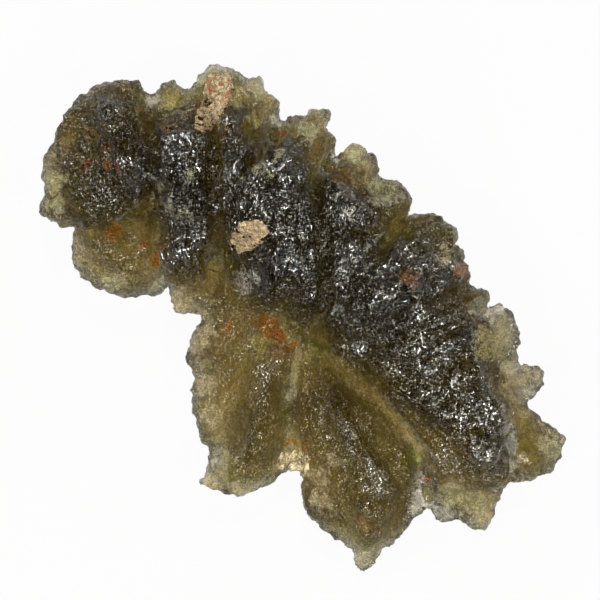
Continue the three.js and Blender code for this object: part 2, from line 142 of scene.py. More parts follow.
class Graph:
    """Adds nodes to a tree and joins them, so that a tree reads like a formula."""

    def __init__(self, tree: bpy.types.NodeTree) -> None:
        """Starts with the tree to fill.

        Args:
            tree: A shader or geometry node tree.
        """
        self.tree = tree

    def add(self, kind: str, inputs: dict | None = None, **settings: object) -> bpy.types.Node:
        """Adds one node.

        Args:
            kind: The node's type, such as "ShaderNodeMath".
            inputs: What goes into its inputs, by name or number: a value or another socket.
            **settings: The node's own settings.

        Returns:
            The new node.
        """
        node = self.tree.nodes.new(kind)
        for name, value in settings.items():
            setattr(node, name, value)
        for key, value in (inputs or {}).items():
            self.feed(node.inputs[key], value)
        return node

    def feed(self, socket: Socket, value: Feed) -> None:
        """Gives an input its value, or joins another node's output to it.

        Args:
            socket: The input.
            value: A plain value or an output.
        """
        if isinstance(value, bpy.types.NodeSocket):
            self.tree.links.new(value, socket)
        else:
            socket.default_value = value

    def math(self, operation: str, *values: Feed) -> Socket:
        """Works out one number from others.

        Args:
            operation: The name of a Math node's operation.
            *values: Its inputs, in order.

        Returns:
            The result.
        """
        node = self.add("ShaderNodeMath", dict(enumerate(values)), operation=operation)
        return node.outputs[0]

    def product(self, *values: Feed) -> Socket:
        """Multiplies numbers.

        Args:
            *values: The numbers.

        Returns:
            Their product.
        """
        result = values[0]
        for value in values[1:]:
            result = self.math("MULTIPLY", result, value)
        return result

    def vector(self, operation: str, *values: Feed, scale: Feed | None = None) -> Socket:
        """Works out a vector, or for a length, distance or dot product a number.

        Args:
            operation: The name of a Vector Math node's operation.
            *values: Its vector inputs, in order.
            scale: The number that a SCALE operation multiplies by.

        Returns:
            The result.
        """
        node = self.add("ShaderNodeVectorMath", dict(enumerate(values)), operation=operation)
        if scale is not None:
            self.feed(node.inputs["Scale"], scale)
        number = operation in ("LENGTH", "DISTANCE", "DOT_PRODUCT")
        return node.outputs["Value" if number else "Vector"]

    def millimetres(self, place: Socket) -> Socket:
        """Turns a place in metres into one in millimetres."""
        return self.vector("SCALE", place, scale=1 / MM)

    def on_piece(self) -> Socket:
        """Gives the place on the piece, for a material, in millimetres."""
        return self.millimetres(self.add("ShaderNodeTexCoord").outputs["Object"])

    def split(self, value: Socket) -> bpy.types.NodeOutputs:
        """Parts a vector into its X, Y and Z."""
        return self.add("ShaderNodeSeparateXYZ", {"Vector": value}).outputs

    def ramp(self, value: Feed, band: Band) -> Socket:
        """Maps a number smoothly from one stretch to another, and holds it there at both ends.

        Args:
            value: The number.
            band: Both stretches.

        Returns:
            The mapped number.
        """
        given = {"Value": value, "From Min": band.start, "From Max": band.end}
        given |= {"To Min": band.to[0], "To Max": band.to[1]}
        node = self.add("ShaderNodeMapRange", given, interpolation_type="SMOOTHSTEP")
        return node.outputs["Result"]

    def mix(self, share: Feed, start: Feed, end: Feed, kind: str = "RGBA") -> Socket:
        """Blends two values.

        Args:
            share: How much of the second one there is, 0 to 1.
            start: The first one.
            end: The second one.
            kind: What they are: RGBA, VECTOR or FLOAT.

        Returns:
            The blend.
        """
        node = self.add("ShaderNodeMix", {"Factor": share}, data_type=kind)
        for label, value in (("A", start), ("B", end)):
            plain_colour = kind == "RGBA" and isinstance(value, tuple)
            self.feed(enabled(node.inputs, label), (*value, 1.0) if plain_colour else value)
        return enabled(node.outputs, "Result")

    def noise(self, place: Socket, grain: Grain, colour: bool = False) -> Socket:
        """Reads a noise texture.

        Args:
            place: Where to read it, mm.
            grain: How coarse and how detailed it is.
            colour: True for three numbers instead of one.

        Returns:
            The noise, about 0.5 on average.
        """
        given = {"Vector": place, "Scale": 1 / grain.size, "Detail": grain.detail}
        node = self.add("ShaderNodeTexNoise", given, noise_dimensions="3D")
        return node.outputs["Color" if colour else "Fac"]

    def patches(self, place: Socket, patches: Patches) -> Socket:
        """Reads how far something is there.

        Args:
            place: Where to read it, mm.
            patches: How it comes and goes.

        Returns:
            How far it is there.
        """
        return self.ramp(self.noise(place, patches.grain), patches.band)

    def wander(self, place: Socket, grain: Grain, far: float) -> Socket:
        """Reads a shift that wanders over the stone.

        Args:
            place: Where to read it, mm.
            grain: How coarse and how detailed it is.
            far: Twice the farthest that it shifts.

        Returns:
            The shift, in the unit of far.
        """
        about = self.vector("SUBTRACT", self.noise(place, grain, colour=True), (0.5,) * 3)
        return self.vector("SCALE", about, scale=far)

    def cells(self, place: Socket, across: Feed) -> bpy.types.NodeOutputs:
        """Parts space into irregular cells.

        Args:
            place: Where to read them.
            across: Across one cell, in the units of place.

        Returns:
            The nearest cell's distance, in cell widths, its own colour and its position.
        """
        scale = 1 / across if isinstance(across, float) else self.math("DIVIDE", 1.0, across)
        given = {"Vector": place, "Scale": scale}
        node = self.add("ShaderNodeTexVoronoi", given, voronoi_dimensions="3D", feature="F1")
        return node.outputs

    def cup(self, place: Socket, across: Feed) -> Socket:
        """Reads a field of round etched cups that meet in sharp crests.

        Args:
            place: Where to read it.
            across: Across one cup, in the units of place.

        Returns:
            1 at the middle of a cup, falling to about 0 on the crests.
        """
        reach = self.math("DIVIDE", self.cells(place, across)["Distance"], CUP_REACH)
        depth = self.math("SUBTRACT", 1.0, self.math("POWER", reach, 2.0))
        return self.math("MAXIMUM", depth, 0.0)

    def facets(self, place: Socket, across: float, slope: float) -> Socket:
        """Reads a height field of small flat facets, each tilted its own way.

        Args:
            place: Where to read it.
            across: Across one facet, in the units of place.
            slope: The steepest slope of a facet along any axis.

        Returns:
            The height, in the units of place.
        """
        cells = self.cells(place, across)
        away = self.vector("SUBTRACT", place, cells["Position"])
        lean = self.vector("SUBTRACT", cells["Color"], (0.5,) * 3)
        return self.math("MULTIPLY", self.vector("DOT_PRODUCT", lean, away), 2 * slope)

    def fanned(self, place: Socket) -> Socket:
        """Bends space so that round cups become flutes that fan out over the stone.

        Args:
            place: The place on the stone, mm.

        Returns:
            The place in the bent space, mm.
        """
        parts = self.split(place)
        fans = []
        for fan in (RIDGE_FAN, SKIRT_FAN):
            x = self.math("SUBTRACT", parts["X"], fan.x)
            y = self.math("SUBTRACT", parts["Y"], fan.y)
            turn = self.math("MULTIPLY", self.math("ARCTAN2", x, y), fan.radius)
            flat = self.add("ShaderNodeCombineXYZ", {"X": x, "Y": y}).outputs[0]
            out = self.math("MULTIPLY", self.vector("LENGTH", flat), FLUTE_SQUEEZE)
            given = {"X": turn, "Y": out, "Z": parts["Z"]}
            fans.append(self.add("ShaderNodeCombineXYZ", given).outputs[0])
        slant, border = RIDGE_FOOT
        height = self.math("ADD", parts["Y"], self.math("MULTIPLY", parts["X"], slant))
        on_ridge = self.math("GREATER_THAN", height, border)
        return self.mix(on_ridge, fans[1], fans[0], "VECTOR")

    def attribute(self, name: str, output: str) -> Socket:
        """Reads in a material what the mesh notes.

        Args:
            name: The note's name.
            output: How it is read: Fac, Vector or Color.

        Returns:
            The note.
        """
        return self.add("ShaderNodeAttribute", attribute_name=name).outputs[output]

    def here(self) -> Socket:
        """Gives the place of a point of the geometry, in metres."""
        return self.add("GeometryNodeInputPosition").outputs[0]

    def normal(self) -> Socket:
        """Gives the direction that the geometry faces."""
        return self.add("GeometryNodeInputNormal").outputs[0]

    def flattened(self, place: Socket) -> Socket:
        """Puts a place straight down onto the plane of the drawings, at Z = 0."""
        return self.vector("MULTIPLY", place, (1.0, 1.0, 0.0))

    def shape_of(self, thing: Socket) -> Socket:
        """Gives the geometry of an object."""
        return self.add("GeometryNodeObjectInfo", {"Object": thing}).outputs["Geometry"]

    def nearest(self, drawing: Socket, place: Socket, domain: str) -> Socket:
        """Finds the part of a drawing that is nearest.

        Args:
            drawing: The geometry that is searched.
            place: Where from, in metres.
            domain: What its parts are, POINT or EDGE.

        Returns:
            The part's number.
        """
        given = {"Geometry": drawing, "Sample Position": place}
        return self.add("GeometryNodeSampleNearest", given, domain=domain).outputs["Index"]

    def sampled(self, drawing: Socket, index: Socket, value: Feed, domain: str, kind: str) -> Socket:
        """Reads a value off one part of a drawing.

        Args:
            drawing: The geometry it is read off.
            index: Which part.
            value: The field that is read, or the name of the drawing's own note.
            domain: What the parts are, POINT or EDGE.
            kind: The value's type, FLOAT or FLOAT_VECTOR.

        Returns:
            The value.
        """
        if isinstance(value, str):
            noted = self.add("GeometryNodeInputNamedAttribute", {"Name": value}, data_type=kind)
            value = noted.outputs["Attribute"]
        given = {"Geometry": drawing, "Value": value, "Index": index}
        return self.add("GeometryNodeSampleIndex", given, domain=domain, data_type=kind).outputs[0]

    def finish(self, shape: Socket, material: Socket) -> None:
        """Ends a geometry tree with real, smoothly shaded geometry in its material.

        Args:
            shape: The geometry.
            material: Its material.
        """
        real = self.add("GeometryNodeRealizeInstances", {"Geometry": shape}).outputs[0]
        smooth = self.add("GeometryNodeSetShadeSmooth", {"Geometry": real}).outputs[0]
        dressed = self.add("GeometryNodeSetMaterial", {"Geometry": smooth, "Material": material})
        self.add("NodeGroupOutput", {0: dressed.outputs[0]})


def enabled(sockets: bpy.types.NodeInputs | bpy.types.NodeOutputs, name: str) -> Socket:
    """Picks the socket in use where a node has several of one name.

    Args:
        sockets: A node's inputs or outputs.
        name: The socket's name.

    Returns:
        The socket.
    """
    return next(socket for socket in sockets if socket.enabled and socket.name == name)


def add_object(name: str, mesh: bpy.types.Mesh) -> bpy.types.Object:
    """Puts a mesh into the scene, at the origin.

    Args:
        name: The object's name.
        mesh: Its mesh.

    Returns:
        The object.
    """
    made = bpy.data.objects.new(name, mesh)
    bpy.context.scene.collection.objects.link(made)
    return made


def draw(
    name: str,
    corners: Sequence[Triple],
    edges: Sequence[Sequence[int]] = (),
    faces: Sequence[Sequence[int]] = (),
) -> bpy.types.Object:
    """Draws a plain mesh from its corners.

    Args:
        name: The object's name.
        corners: The place of each corner, in metres.
        edges: The two corners of each edge.
        faces: The corners of each face.

    Returns:
        The object.
    """
    mesh = bpy.data.meshes.new(name)
    mesh.from_pydata(corners, edges, faces)
    return add_object(name, mesh)


def bake(source: bpy.types.Object, name: str) -> bpy.types.Object:
    """Turns an object and its modifiers into a plain mesh object at the origin.

    Args:
        source: The object, which is removed.
        name: The new object's name.

    Returns:
        The new object.
    """
    graph = bpy.context.evaluated_depsgraph_get()
    mesh = bpy.data.meshes.new_from_object(source.evaluated_get(graph), depsgraph=graph)
    mesh.name = name
    bpy.data.objects.remove(source)
    return add_object(name, mesh)


def add_nodes(obj: bpy.types.Object, tree: bpy.types.NodeTree, values: dict[str, object]) -> None:
    """Gives an object a Geometry Nodes modifier and sets its inputs.

    Args:
        obj: The object.
        tree: The geometry node tree.
        values: What each named input gets.
    """
    modifier = obj.modifiers.new(tree.name, "NODES")
    modifier.node_group = tree
    for item in tree.interface.items_tree:
        if item.item_type == "SOCKET" and item.in_out == "INPUT" and item.name in values:
            modifier[item.identifier] = values[item.name]


def new_tree(name: str, inputs: dict[str, str]) -> tuple[bpy.types.NodeTree, dict[str, Socket]]:
    """Makes a geometry node tree with named inputs.

    Args:
        name: The tree's name.
        inputs: Each input's name and type, such as Float, after the geometry.

    Returns:
        The tree, and its inputs as sockets to read from.
    """
    tree = bpy.data.node_groups.new(name, "GeometryNodeTree")
    tree.interface.new_socket("Geometry", in_out="INPUT", socket_type="NodeSocketGeometry")
    for label, kind in inputs.items():
        tree.interface.new_socket(label, in_out="INPUT", socket_type=f"NodeSocket{kind}")
    tree.interface.new_socket("Geometry", in_out="OUTPUT", socket_type="NodeSocketGeometry")
    group = tree.nodes.new("NodeGroupInput")
    return tree, {socket.name: socket for socket in group.outputs if socket.name}


def new_material(name: str) -> tuple[bpy.types.Material, Graph]:
    """Makes an empty material.

    Args:
        name: Its name.

    Returns:
        The material and its nodes.
    """
    made = bpy.data.materials.new(name)
    made.use_nodes = True
    made.node_tree.nodes.clear()
    return made, Graph(made.node_tree)


# ---- finishes --------------------------------------------------------------------------------


class Soil(Enum):
    """What the soil left, and one painted highlight: its colour, how much it clouds the glass, and how
    much gloss it leaves.
    """

    RUST = ((0.80, 0.26, 0.03), 0.17, 0.3)
    RED = ((0.85, 0.22, 0.07), 0.15, 0.4)
    BROWN = ((0.70, 0.42, 0.16), 0.10, 0.4)
    PINK = ((0.55, 0.30, 0.17), 0.20, 0.4)
    PALE = ((0.88, 0.84, 0.50), 0.24, 0.35)
    CREAM = ((0.48, 0.42, 0.31), 0.60, 0.3)
    # Painted highlight: pale grey that stands in for the glossy reflection on the bevel and along the
    # crests' branches.
    PAINTED_HIGHLIGHT = ((0.74, 0.72, 0.60), 0.30, 0.6)
    DUST = ((0.86, 0.71, 0.42), 0.27, 0.3)
    OLIVE = ((0.80, 0.68, 0.24), 0.24, 0.5)
    TAN = ((0.98, 0.82, 0.53), 0.92, 0.1)
    GREEN = ((0.75, 0.85, 0.20), 0.0, 1.0)

    @property
    def colour(self) -> Colour:
        """The soil's colour."""
        return self.value[0]

    @property
    def body(self) -> float:
        """How much of the glass's clearness it takes away, 0 to 1."""
        return self.value[1]

    @property
    def gloss(self) -> float:
        """How much of the glass's gloss it leaves, 0 to 1."""
        return self.value[2]


@dataclass(frozen=True)
class Surface:
    """What the parts of the glass's finish read at every point of the stone.

    Attributes:
        graph: The material's nodes.
        place: The place on the stone, mm.
        fanned: The same place in the bent space of the flutes, mm.
        thick: How thick the glass is, mm.
        thin: 1 where it is thin, and 0 where it is thick.
    """

    graph: Graph
    place: Socket
    fanned: Socket
    thick: Socket
    thin: Socket


@dataclass(frozen=True)
class Film:
    """The colour that the etched surface gives to thin glass.

    Attributes:
        colours: What it lets through, where it is olive and where it is brown.
        cover: How much of it there is.
        browning: Where it is brown.
        rim: How it fades towards the rim, by the glass's thickness in mm.
    """

    colours: tuple[Colour, Colour] = ((0.96, 0.86, 0.43), (0.98, 0.74, 0.46))
    cover: Patches = Patches(Grain(2.5, 2.0), Band(0.35, 0.6, (0.45, 1.0)))
    browning: Patches = Patches(Grain(3.2, 2.0), Band(0.38, 0.54))
    rim: Band = Band(0.4, 1.8, (0.3, 1.0))

    def colour(self, at: Surface) -> Socket:
        """Works out its colour.

        Args:
            at: The surface.

        Returns:
            The colour, white where there is no film.
        """
        graph = at.graph
        cover = graph.product(graph.patches(at.place, self.cover), graph.ramp(at.thick, self.rim))
        tint = graph.mix(graph.patches(at.place, self.browning), *self.colours)
        return graph.mix(graph.product(at.thin, cover), (1.0, 1.0, 1.0), tint)


@dataclass(frozen=True)
class Staining:
    """The soil that has coloured the etched surface, with the painted highlights that are laid the
    same way.

    Attributes:
        breaks: The noise that breaks the stains up.
        broken: How strongly it does so.
        edge: How a stain comes up, by its strength with the breaks.
        halo: How it ends, by its strength alone.
    """

    breaks: Grain = Grain(0.3, 4.0)
    broken: float = 1.8
    edge: Band = Band(0.2, 0.9)
    halo: Band = Band(0.02, 0.2)

    def over(self, at: Surface, under: Socket) -> tuple[Socket, Socket, Socket]:
        """Lays the stains over the bare glass.

        Args:
            at: The surface.
            under: The colour without them.

        Returns:
            The surface colour, how much it is clouded, and how much of its gloss is left.
        """
        graph = at.graph
        soil = graph.split(graph.attribute(SOIL, "Vector"))
        breaks = graph.math("SUBTRACT", graph.noise(at.place, self.breaks), 0.5)
        strength = graph.math("ADD", soil["X"], graph.product(breaks, self.broken))
        strength = graph.product(graph.ramp(strength, self.edge), graph.ramp(soil["X"], self.halo))
        colour = graph.mix(strength, under, graph.attribute(SOIL_COLOUR, "Color"))
        lost = graph.product(strength, graph.math("SUBTRACT", 1.0, soil["Z"]))
        return colour, graph.product(strength, soil["Y"]), graph.math("SUBTRACT", 1.0, lost)


@dataclass(frozen=True)
class Pitting:
    """The finest pits: painted shade darkens their crevices, and glossy points are left between them.

    Attributes:
        streaks: Its coarse part, which follows the flutes.
        pits: Its fine part.
        dots: Its finest part.
        dots_share: How strong the finest part is.
        opening: How much light comes through, from a crevice with painted shade to the open surface.
        crevice: How much comes through the darkest, most shaded crevices of thick and of thin glass.
        gloss: How glossy it is, from a crevice to the open surface.
        gloss_patches: Where the gloss is strong and weak.
        gloss_depth: How the gloss grows with the glass's thickness in mm.
        gloss_level: How the gloss fades on slopes, by how level the surface is.
    """

    streaks: Grain = Grain(0.24, 3.0)
    pits: Grain = Grain(0.14, 2.0)
    dots: Grain = Grain(0.08, 1.0)
    dots_share: float = 0.8
    opening: Band = Band(1.26, 1.5)
    crevice: tuple[float, float] = (0.04, 0.44)
    gloss: Band = Band(1.27, 1.48, (0.1, 1.0))
    gloss_patches: Patches = Patches(Grain(1.6, 3.0), Band(0.42, 0.58, (0.12, 1.1)))
    gloss_depth: Band = Band(4.0, 7.0, (0.07, 1.0))
    gloss_level: Band = Band(0.66, 0.86)

    def height(self, at: Surface) -> Socket:
        """Works out how high the surface stands: about 1.26 in a crevice, 1.5 in the open."""
        graph = at.graph
        streaks, pits = graph.noise(at.fanned, self.streaks), graph.noise(at.place, self.pits)
        dots = graph.product(graph.noise(at.place, self.dots), self.dots_share)
        return graph.math("ADD", graph.math("ADD", streaks, pits), dots)

    def light(self, at: Surface, height: Socket) -> Socket:
        """Works out the painted shade of the crevices: how much light the surface lets through.

        Args:
            at: The surface.
            height: How high it stands.

        Returns:
            The share of the light, 0 to 1.
        """
        # Painted shade: the colour is darkened in the crevices of the noise.
        least = at.graph.ramp(at.thin, Band(0.0, 1.0, self.crevice))
        return at.graph.math("MAXIMUM", at.graph.ramp(height, self.opening), least)

    def lustre(self, at: Surface, height: Socket, kept: Socket, level: Socket) -> Socket:
        """Works out how strongly the surface shines.

        Args:
            at: The surface.
            height: How high it stands.
            kept: How much of its gloss the soil has left.
            level: The upward part of its normal.

        Returns:
            The weight of its glossy skin.
        """
        graph = at.graph
        sheen = graph.split(graph.attribute(SHEEN, "Vector"))
        usual = graph.ramp(at.thick, self.gloss_depth)
        return graph.product(
            graph.ramp(height, self.gloss),
            graph.patches(at.place, self.gloss_patches),
            kept,
            graph.mix(sheen["X"], usual, sheen["Y"], "FLOAT"),
            graph.ramp(level, self.gloss_level),
        )


@dataclass(frozen=True)
class PaintedGlintsAndDust:
    """Pale specks: painted glints on thick glass, which stand in for its small sparkles of light, and
    fine dust on thin glass.

    Attributes:
        across: Their spacing, mm.
        size: How a speck ends, by the distance from its middle in spacings.
        chance: Which of the spacings hold a speck.
        thin_chance: How much likelier a speck is on thin glass.
        streaks: How they gather in streaks along the flutes.
        body: How much a speck is clouded on thick and on thin glass.
        speck_paint: The colour of the painted glints on thick glass and of dust on thin glass.
        cover: How a speck's colour comes up with its clouding.
    """

    across: float = 0.13
    size: Band = Band(0.42, 0.24)
    chance: Band = Band(0.43, 0.69)
    thin_chance: float = 0.25
    streaks: Patches = Patches(Grain(0.9, 3.0), Band(0.36, 0.56, (0.15, 1.0)))
    body: tuple[float, float] = (0.8, 0.5)
    # Painted glint colour on thick glass, dust colour on thin glass.
    speck_paint: tuple[Colour, Colour] = ((0.82, 0.75, 0.55), (0.92, 0.80, 0.52))
    cover: Band = Band(0.0, 0.5)

    def clouding(self, at: Surface) -> Socket:
        """Works out how much they cloud the surface, 0 to 1."""
        graph = at.graph
        cells = graph.cells(at.place, self.across)
        draw = graph.split(cells["Color"])["X"]
        draw = graph.math("ADD", draw, graph.product(at.thin, self.thin_chance))
        return graph.product(
            graph.ramp(cells["Distance"], self.size),
            graph.ramp(draw, self.chance),
            graph.patches(at.fanned, self.streaks),
            graph.ramp(at.thin, Band(0.0, 1.0, self.body)),
        )

    def over(self, at: Surface, clouding: Socket, under: Socket, light: Socket) -> Socket:
        """Lays them over the surface.

        Args:
            at: The surface.
            clouding: How much they cloud it.
            under: Its colour without them.
            light: How much light it lets through, less in the crevices with painted shade.

        Returns:
            Its colour.
        """
        graph = at.graph
        speck_paint = graph.mix(at.thin, *self.speck_paint)
        shaded = [graph.vector("SCALE", colour, scale=light) for colour in (under, speck_paint)]
        return graph.mix(graph.ramp(clouding, self.cover), *shaded)


@dataclass(frozen=True)
class Rim:
    """The pale edge all round the thin glass, where it is steep: partly frosting, partly painted light
    that stands in for the light shining through the thin edge.

    Attributes:
        slope: How it comes up, by how level the surface is.
        depth: How much it is clouded, by the glass's thickness in mm.
        colour: Its colour.
        cover: How its colour comes up with its clouding.
    """

    slope: Band = Band(0.75, 0.3)
    depth: Band = Band(2.5, 0.8, (0.0, 0.15))
    # Pale paint on steep thin glass, partly painted light that covers the dark edge the glass shows
    # there.
    colour: Colour = (0.82, 0.75, 0.50)
    cover: Band = Band(0.0, 0.5)

    def clouding(self, at: Surface, level: Socket) -> Socket:
        """Works out how much it clouds the surface.

        Args:
            at: The surface.
            level: The upward part of its normal.

        Returns:
            The clouding, 0 to 1.
        """
        steep = at.graph.ramp(at.graph.math("ABSOLUTE", level), self.slope)
        return at.graph.product(steep, at.graph.ramp(at.thick, self.depth))

    def over(self, at: Surface, clouding: Socket, under: Socket) -> Socket:
        """Lays it over the surface.

        Args:
            at: The surface.
            clouding: How much it clouds it.
            under: Its colour without the rim.

        Returns:
            Its colour.
        """
        return at.graph.mix(at.graph.ramp(clouding, self.cover), under, self.colour)


@dataclass(frozen=True)
class Facets:
    """The small etched facets that break up every reflection.

    Attributes:
        coarse: Across one of the larger ones, mm, and its steepest slope along any axis.
        fine: The same for the smaller ones.
        patches: Where they are deep and shallow.
    """

    coarse: tuple[float, float] = (0.15, 0.45)
    fine: tuple[float, float] = (0.075, 0.3)
    patches: Patches = Patches(Grain(1.4, 2.0), Band(0.3, 0.55, (0.35, 1.0)))

    def normal(self, at: Surface) -> Socket:
        """Works out which way the etched surface faces."""
        graph = at.graph
        heights = [graph.facets(at.place, *sizes) for sizes in (self.coarse, self.fine)]
        height = graph.product(graph.math("ADD", *heights), graph.patches(at.place, self.patches))
        given = {"Height": height, "Distance": MM, "Strength": 1.0}
        return graph.add("ShaderNodeBump", given).outputs["Normal"]


@dataclass(frozen=True)
class EtchedGlass:
    """Clear olive-brown glass, glossy but finely etched, stained where soil has got into it.

    Attributes:
        ior: Its refractive index.
        depth_colour: The colour of its depth; what each part lacks of 1 is absorbed.
        density: How strongly that is absorbed, per metre.
        thinning: The thicknesses from which it counts as thin, and from which fully so, mm.
        frost: How rough it is, from where it is smooth to where it is pitted.
        shine: The colour of the glass's own reflections; the glossy skin gives them instead.
        skin_ior: Refractive index of its glossy skin.
        polish: Roughness of that skin.
        film: The colour of its thin places.
        staining: The soil in it.
        pitting: Its finest pits.
        glints_and_dust: Its painted glints and its specks of dust.
        rim: Its frosted edge.
        facets: Its etched facets.
    """

    ior: float = 1.49
    depth_colour: Colour = (0.655, 0.60, 0.28)
    density: float = 950.0
    thinning: Band = Band(7.0, 3.0)
    frost: Patches = Patches(Grain(2.2, 4.0), Band(0.4, 0.65, (0.285, 0.36)))
    shine: Colour = (0.0, 0.0, 0.0)
    skin_ior: float = 2.8
    polish: float = 0.18
    film: Film = Film()
    staining: Staining = Staining()
    pitting: Pitting = Pitting()
    glints_and_dust: PaintedGlintsAndDust = PaintedGlintsAndDust()
    rim: Rim = Rim()
    facets: Facets = Facets()

    def material(self) -> bpy.types.Material:
        """Makes the stone's material.

        Returns:
            The material.
        """
        made, graph = new_material("etched_glass")
        place = graph.on_piece()
        thick = graph.attribute(THICKNESS, "Fac")
        at = Surface(graph, place, graph.fanned(place), thick, graph.ramp(thick, self.thinning))
        normal = self.facets.normal(at)
        level = graph.split(normal)["Z"]
        height = self.pitting.height(at)
        speck_clouding = self.glints_and_dust.clouding(at)
        rimmed = self.rim.clouding(at, level)

        colour, clouding, kept_gloss = self.staining.over(at, self.film.colour(at))
        # Pale specks laid over the colour: painted glints on thick glass, dust on thin glass.
        colour = self.glints_and_dust.over(at, speck_clouding, colour, self.pitting.light(at, height))
        # The pale rim laid over the colour, partly painted light at the steep thin edge.
        colour = self.rim.over(at, rimmed, colour)
        clouding = graph.math("MAXIMUM", clouding, graph.math("MAXIMUM", rimmed, speck_clouding))
        shader = graph.add(
            "ShaderNodeBsdfPrincipled",
            {
                "Base Color": colour,
                "Roughness": graph.math("MAXIMUM", graph.patches(place, self.frost), clouding),
                "Transmission Weight": graph.math("SUBTRACT", 1.0, clouding),
                "Normal": normal,
                "IOR": self.ior,
                "Specular Tint": (*self.shine, 1.0),
                "Coat Weight": self.pitting.lustre(at, height, kept_gloss, level),
                "Coat Roughness": self.polish,
                "Coat IOR": self.skin_ior,
                "Coat Normal": normal,
            },
        )
        inside = {"Density": self.density, "Color": (*self.depth_colour, 1.0)}
        inside = graph.add("ShaderNodeVolumeAbsorption", inside)
        ends = {"Surface": shader.outputs[0], "Volume": inside.outputs[0]}
        graph.add("ShaderNodeOutputMaterial", ends)
        return made


@dataclass(frozen=True)
class DryClay:
    """Dry, crumbly clay, rustier towards the far end of the stone.

    Attributes:
        shades: The colours it is mottled with.
        mottle: How it is mottled.
        rust: The colour of its rusty patches.
        rusting: Where they are.
        rust_reach: How strong they are, by the place up the stone in mm.
        roughness: How dull it is.
        bump: The noise of its fine grains.
        bump_depth: How deep that goes, mm.
        bump_strength: How strongly it shows.
    """

    shades: tuple[Colour, Colour] = ((0.19, 0.138, 0.072), (0.50, 0.39, 0.235))
    mottle: Patches = Patches(Grain(0.22, 3.0), Band(0.35, 0.65))
    rust: Colour = (0.26, 0.11, 0.045)
    rusting: Patches = Patches(Grain(0.6, 3.0), Band(0.45, 0.6))
    rust_reach: Band = Band(13.4, 15.0, (0.25, 1.0))
    roughness: float = 0.85
    bump: Grain = Grain(0.12, 2.0)
    bump_depth: float = 0.1
    bump_strength: float = 0.6

    def material(self) -> bpy.types.Material:
        """Makes the clay's material.

        Returns:
            The material.
        """
        made, graph = new_material("dry_clay")
        place = graph.on_piece()
        mottled = graph.mix(graph.patches(place, self.mottle), *self.shades)
        reach = graph.ramp(graph.split(place)["Y"], self.rust_reach)
        rusty = graph.product(graph.patches(place, self.rusting), reach)
        bump = {"Height": graph.noise(place, self.bump), "Distance": self.bump_depth * MM}
        bump = graph.add("ShaderNodeBump", bump | {"Strength": self.bump_strength})
        look = {"Base Color": graph.mix(rusty, mottled, self.rust), "Roughness": self.roughness}
        look["Normal"] = bump.outputs["Normal"]
        shader = graph.add("ShaderNodeBsdfPrincipled", look)
        graph.add("ShaderNodeOutputMaterial", {"Surface": shader.outputs[0]})
        return made


@dataclass(frozen=True)
class LitPaper:
    """Paper that glows evenly from below, as on a light table.

    Attributes:
        glow: How brightly.
        shade: How much of the lamps' light it throws back.
        roughness: How dull it is.
    """

    glow: float = 0.95
    shade: float = 0.02
    roughness: float = 0.9

    def material(self) -> bpy.types.Material:
        """Makes the paper's material.

        Returns:
            The material.
        """
        made, graph = new_material("paper")
        look = {
            "Base Color": (*(self.shade,) * 3, 1.0),
            "Roughness": self.roughness,
            "Specular IOR Level": 0.0,
            "Emission Color": (1.0, 1.0, 1.0, 1.0),
            "Emission Strength": self.glow,
        }
        shader = graph.add("ShaderNodeBsdfPrincipled", look)
        graph.add("ShaderNodeOutputMaterial", {"Surface": shader.outputs[0]})
        return made


# ---- the stone -------------------------------------------------------------------------------


@dataclass(frozen=True)
class Line:
    """A crease or crest of the stone.

    Attributes:
        path: The places that it passes through, mm.
        reach: Half its width, mm.
        height: How far it stands up, mm; below 0 it is cut in.
    """

    path: tuple[Place, ...]
    reach: float
    height: float


def draw_lines(name: str, lines: list[Line]) -> bpy.types.Object:
    """Draws lines as the edges of a flat mesh, each edge knowing its line's size.

    Args:
        name: The object's name.
        lines: The lines.

    Returns:
        The object.
    """
    corners, edges, owners = [], [], []
    for line in lines:
        for step, (x, y) in enumerate(line.path):
            if step:
                edges.append((len(corners) - 1, len(corners)))
                owners.append(line)
            corners.append((x * MM, y * MM, 0.0))
    drawing = draw(name, corners, edges)
    for label in ("reach", "height"):
        values = [getattr(line, label) for line in owners]
        drawing.data.attributes.new(label, "FLOAT", "EDGE").data.foreach_set("value", values)
    return drawing


def draw_spots(name: str, spots: list[Spot], notes: dict[str, list[Triple]]) -> bpy.types.Object:
    """Sets out round spots as the points of a mesh.

    Args:
        name: The object's name.
        spots: The spots.
        notes: More that each spot knows, three numbers under each name.

    Returns:
        The object.
    """
    drawing = draw(name, [(x * MM, y * MM, 0.0) for x, y, _ in spots])
    reach = drawing.data.attributes.new("reach", "FLOAT", "POINT")
    reach.data.foreach_set("value", [radius for _, _, radius in spots])
    for label, values in notes.items():
        flat = [number for value in values for number in value]
        drawing.data.attributes.new(label, "FLOAT_VECTOR", "POINT").data.foreach_set("vector", flat)
    return drawing


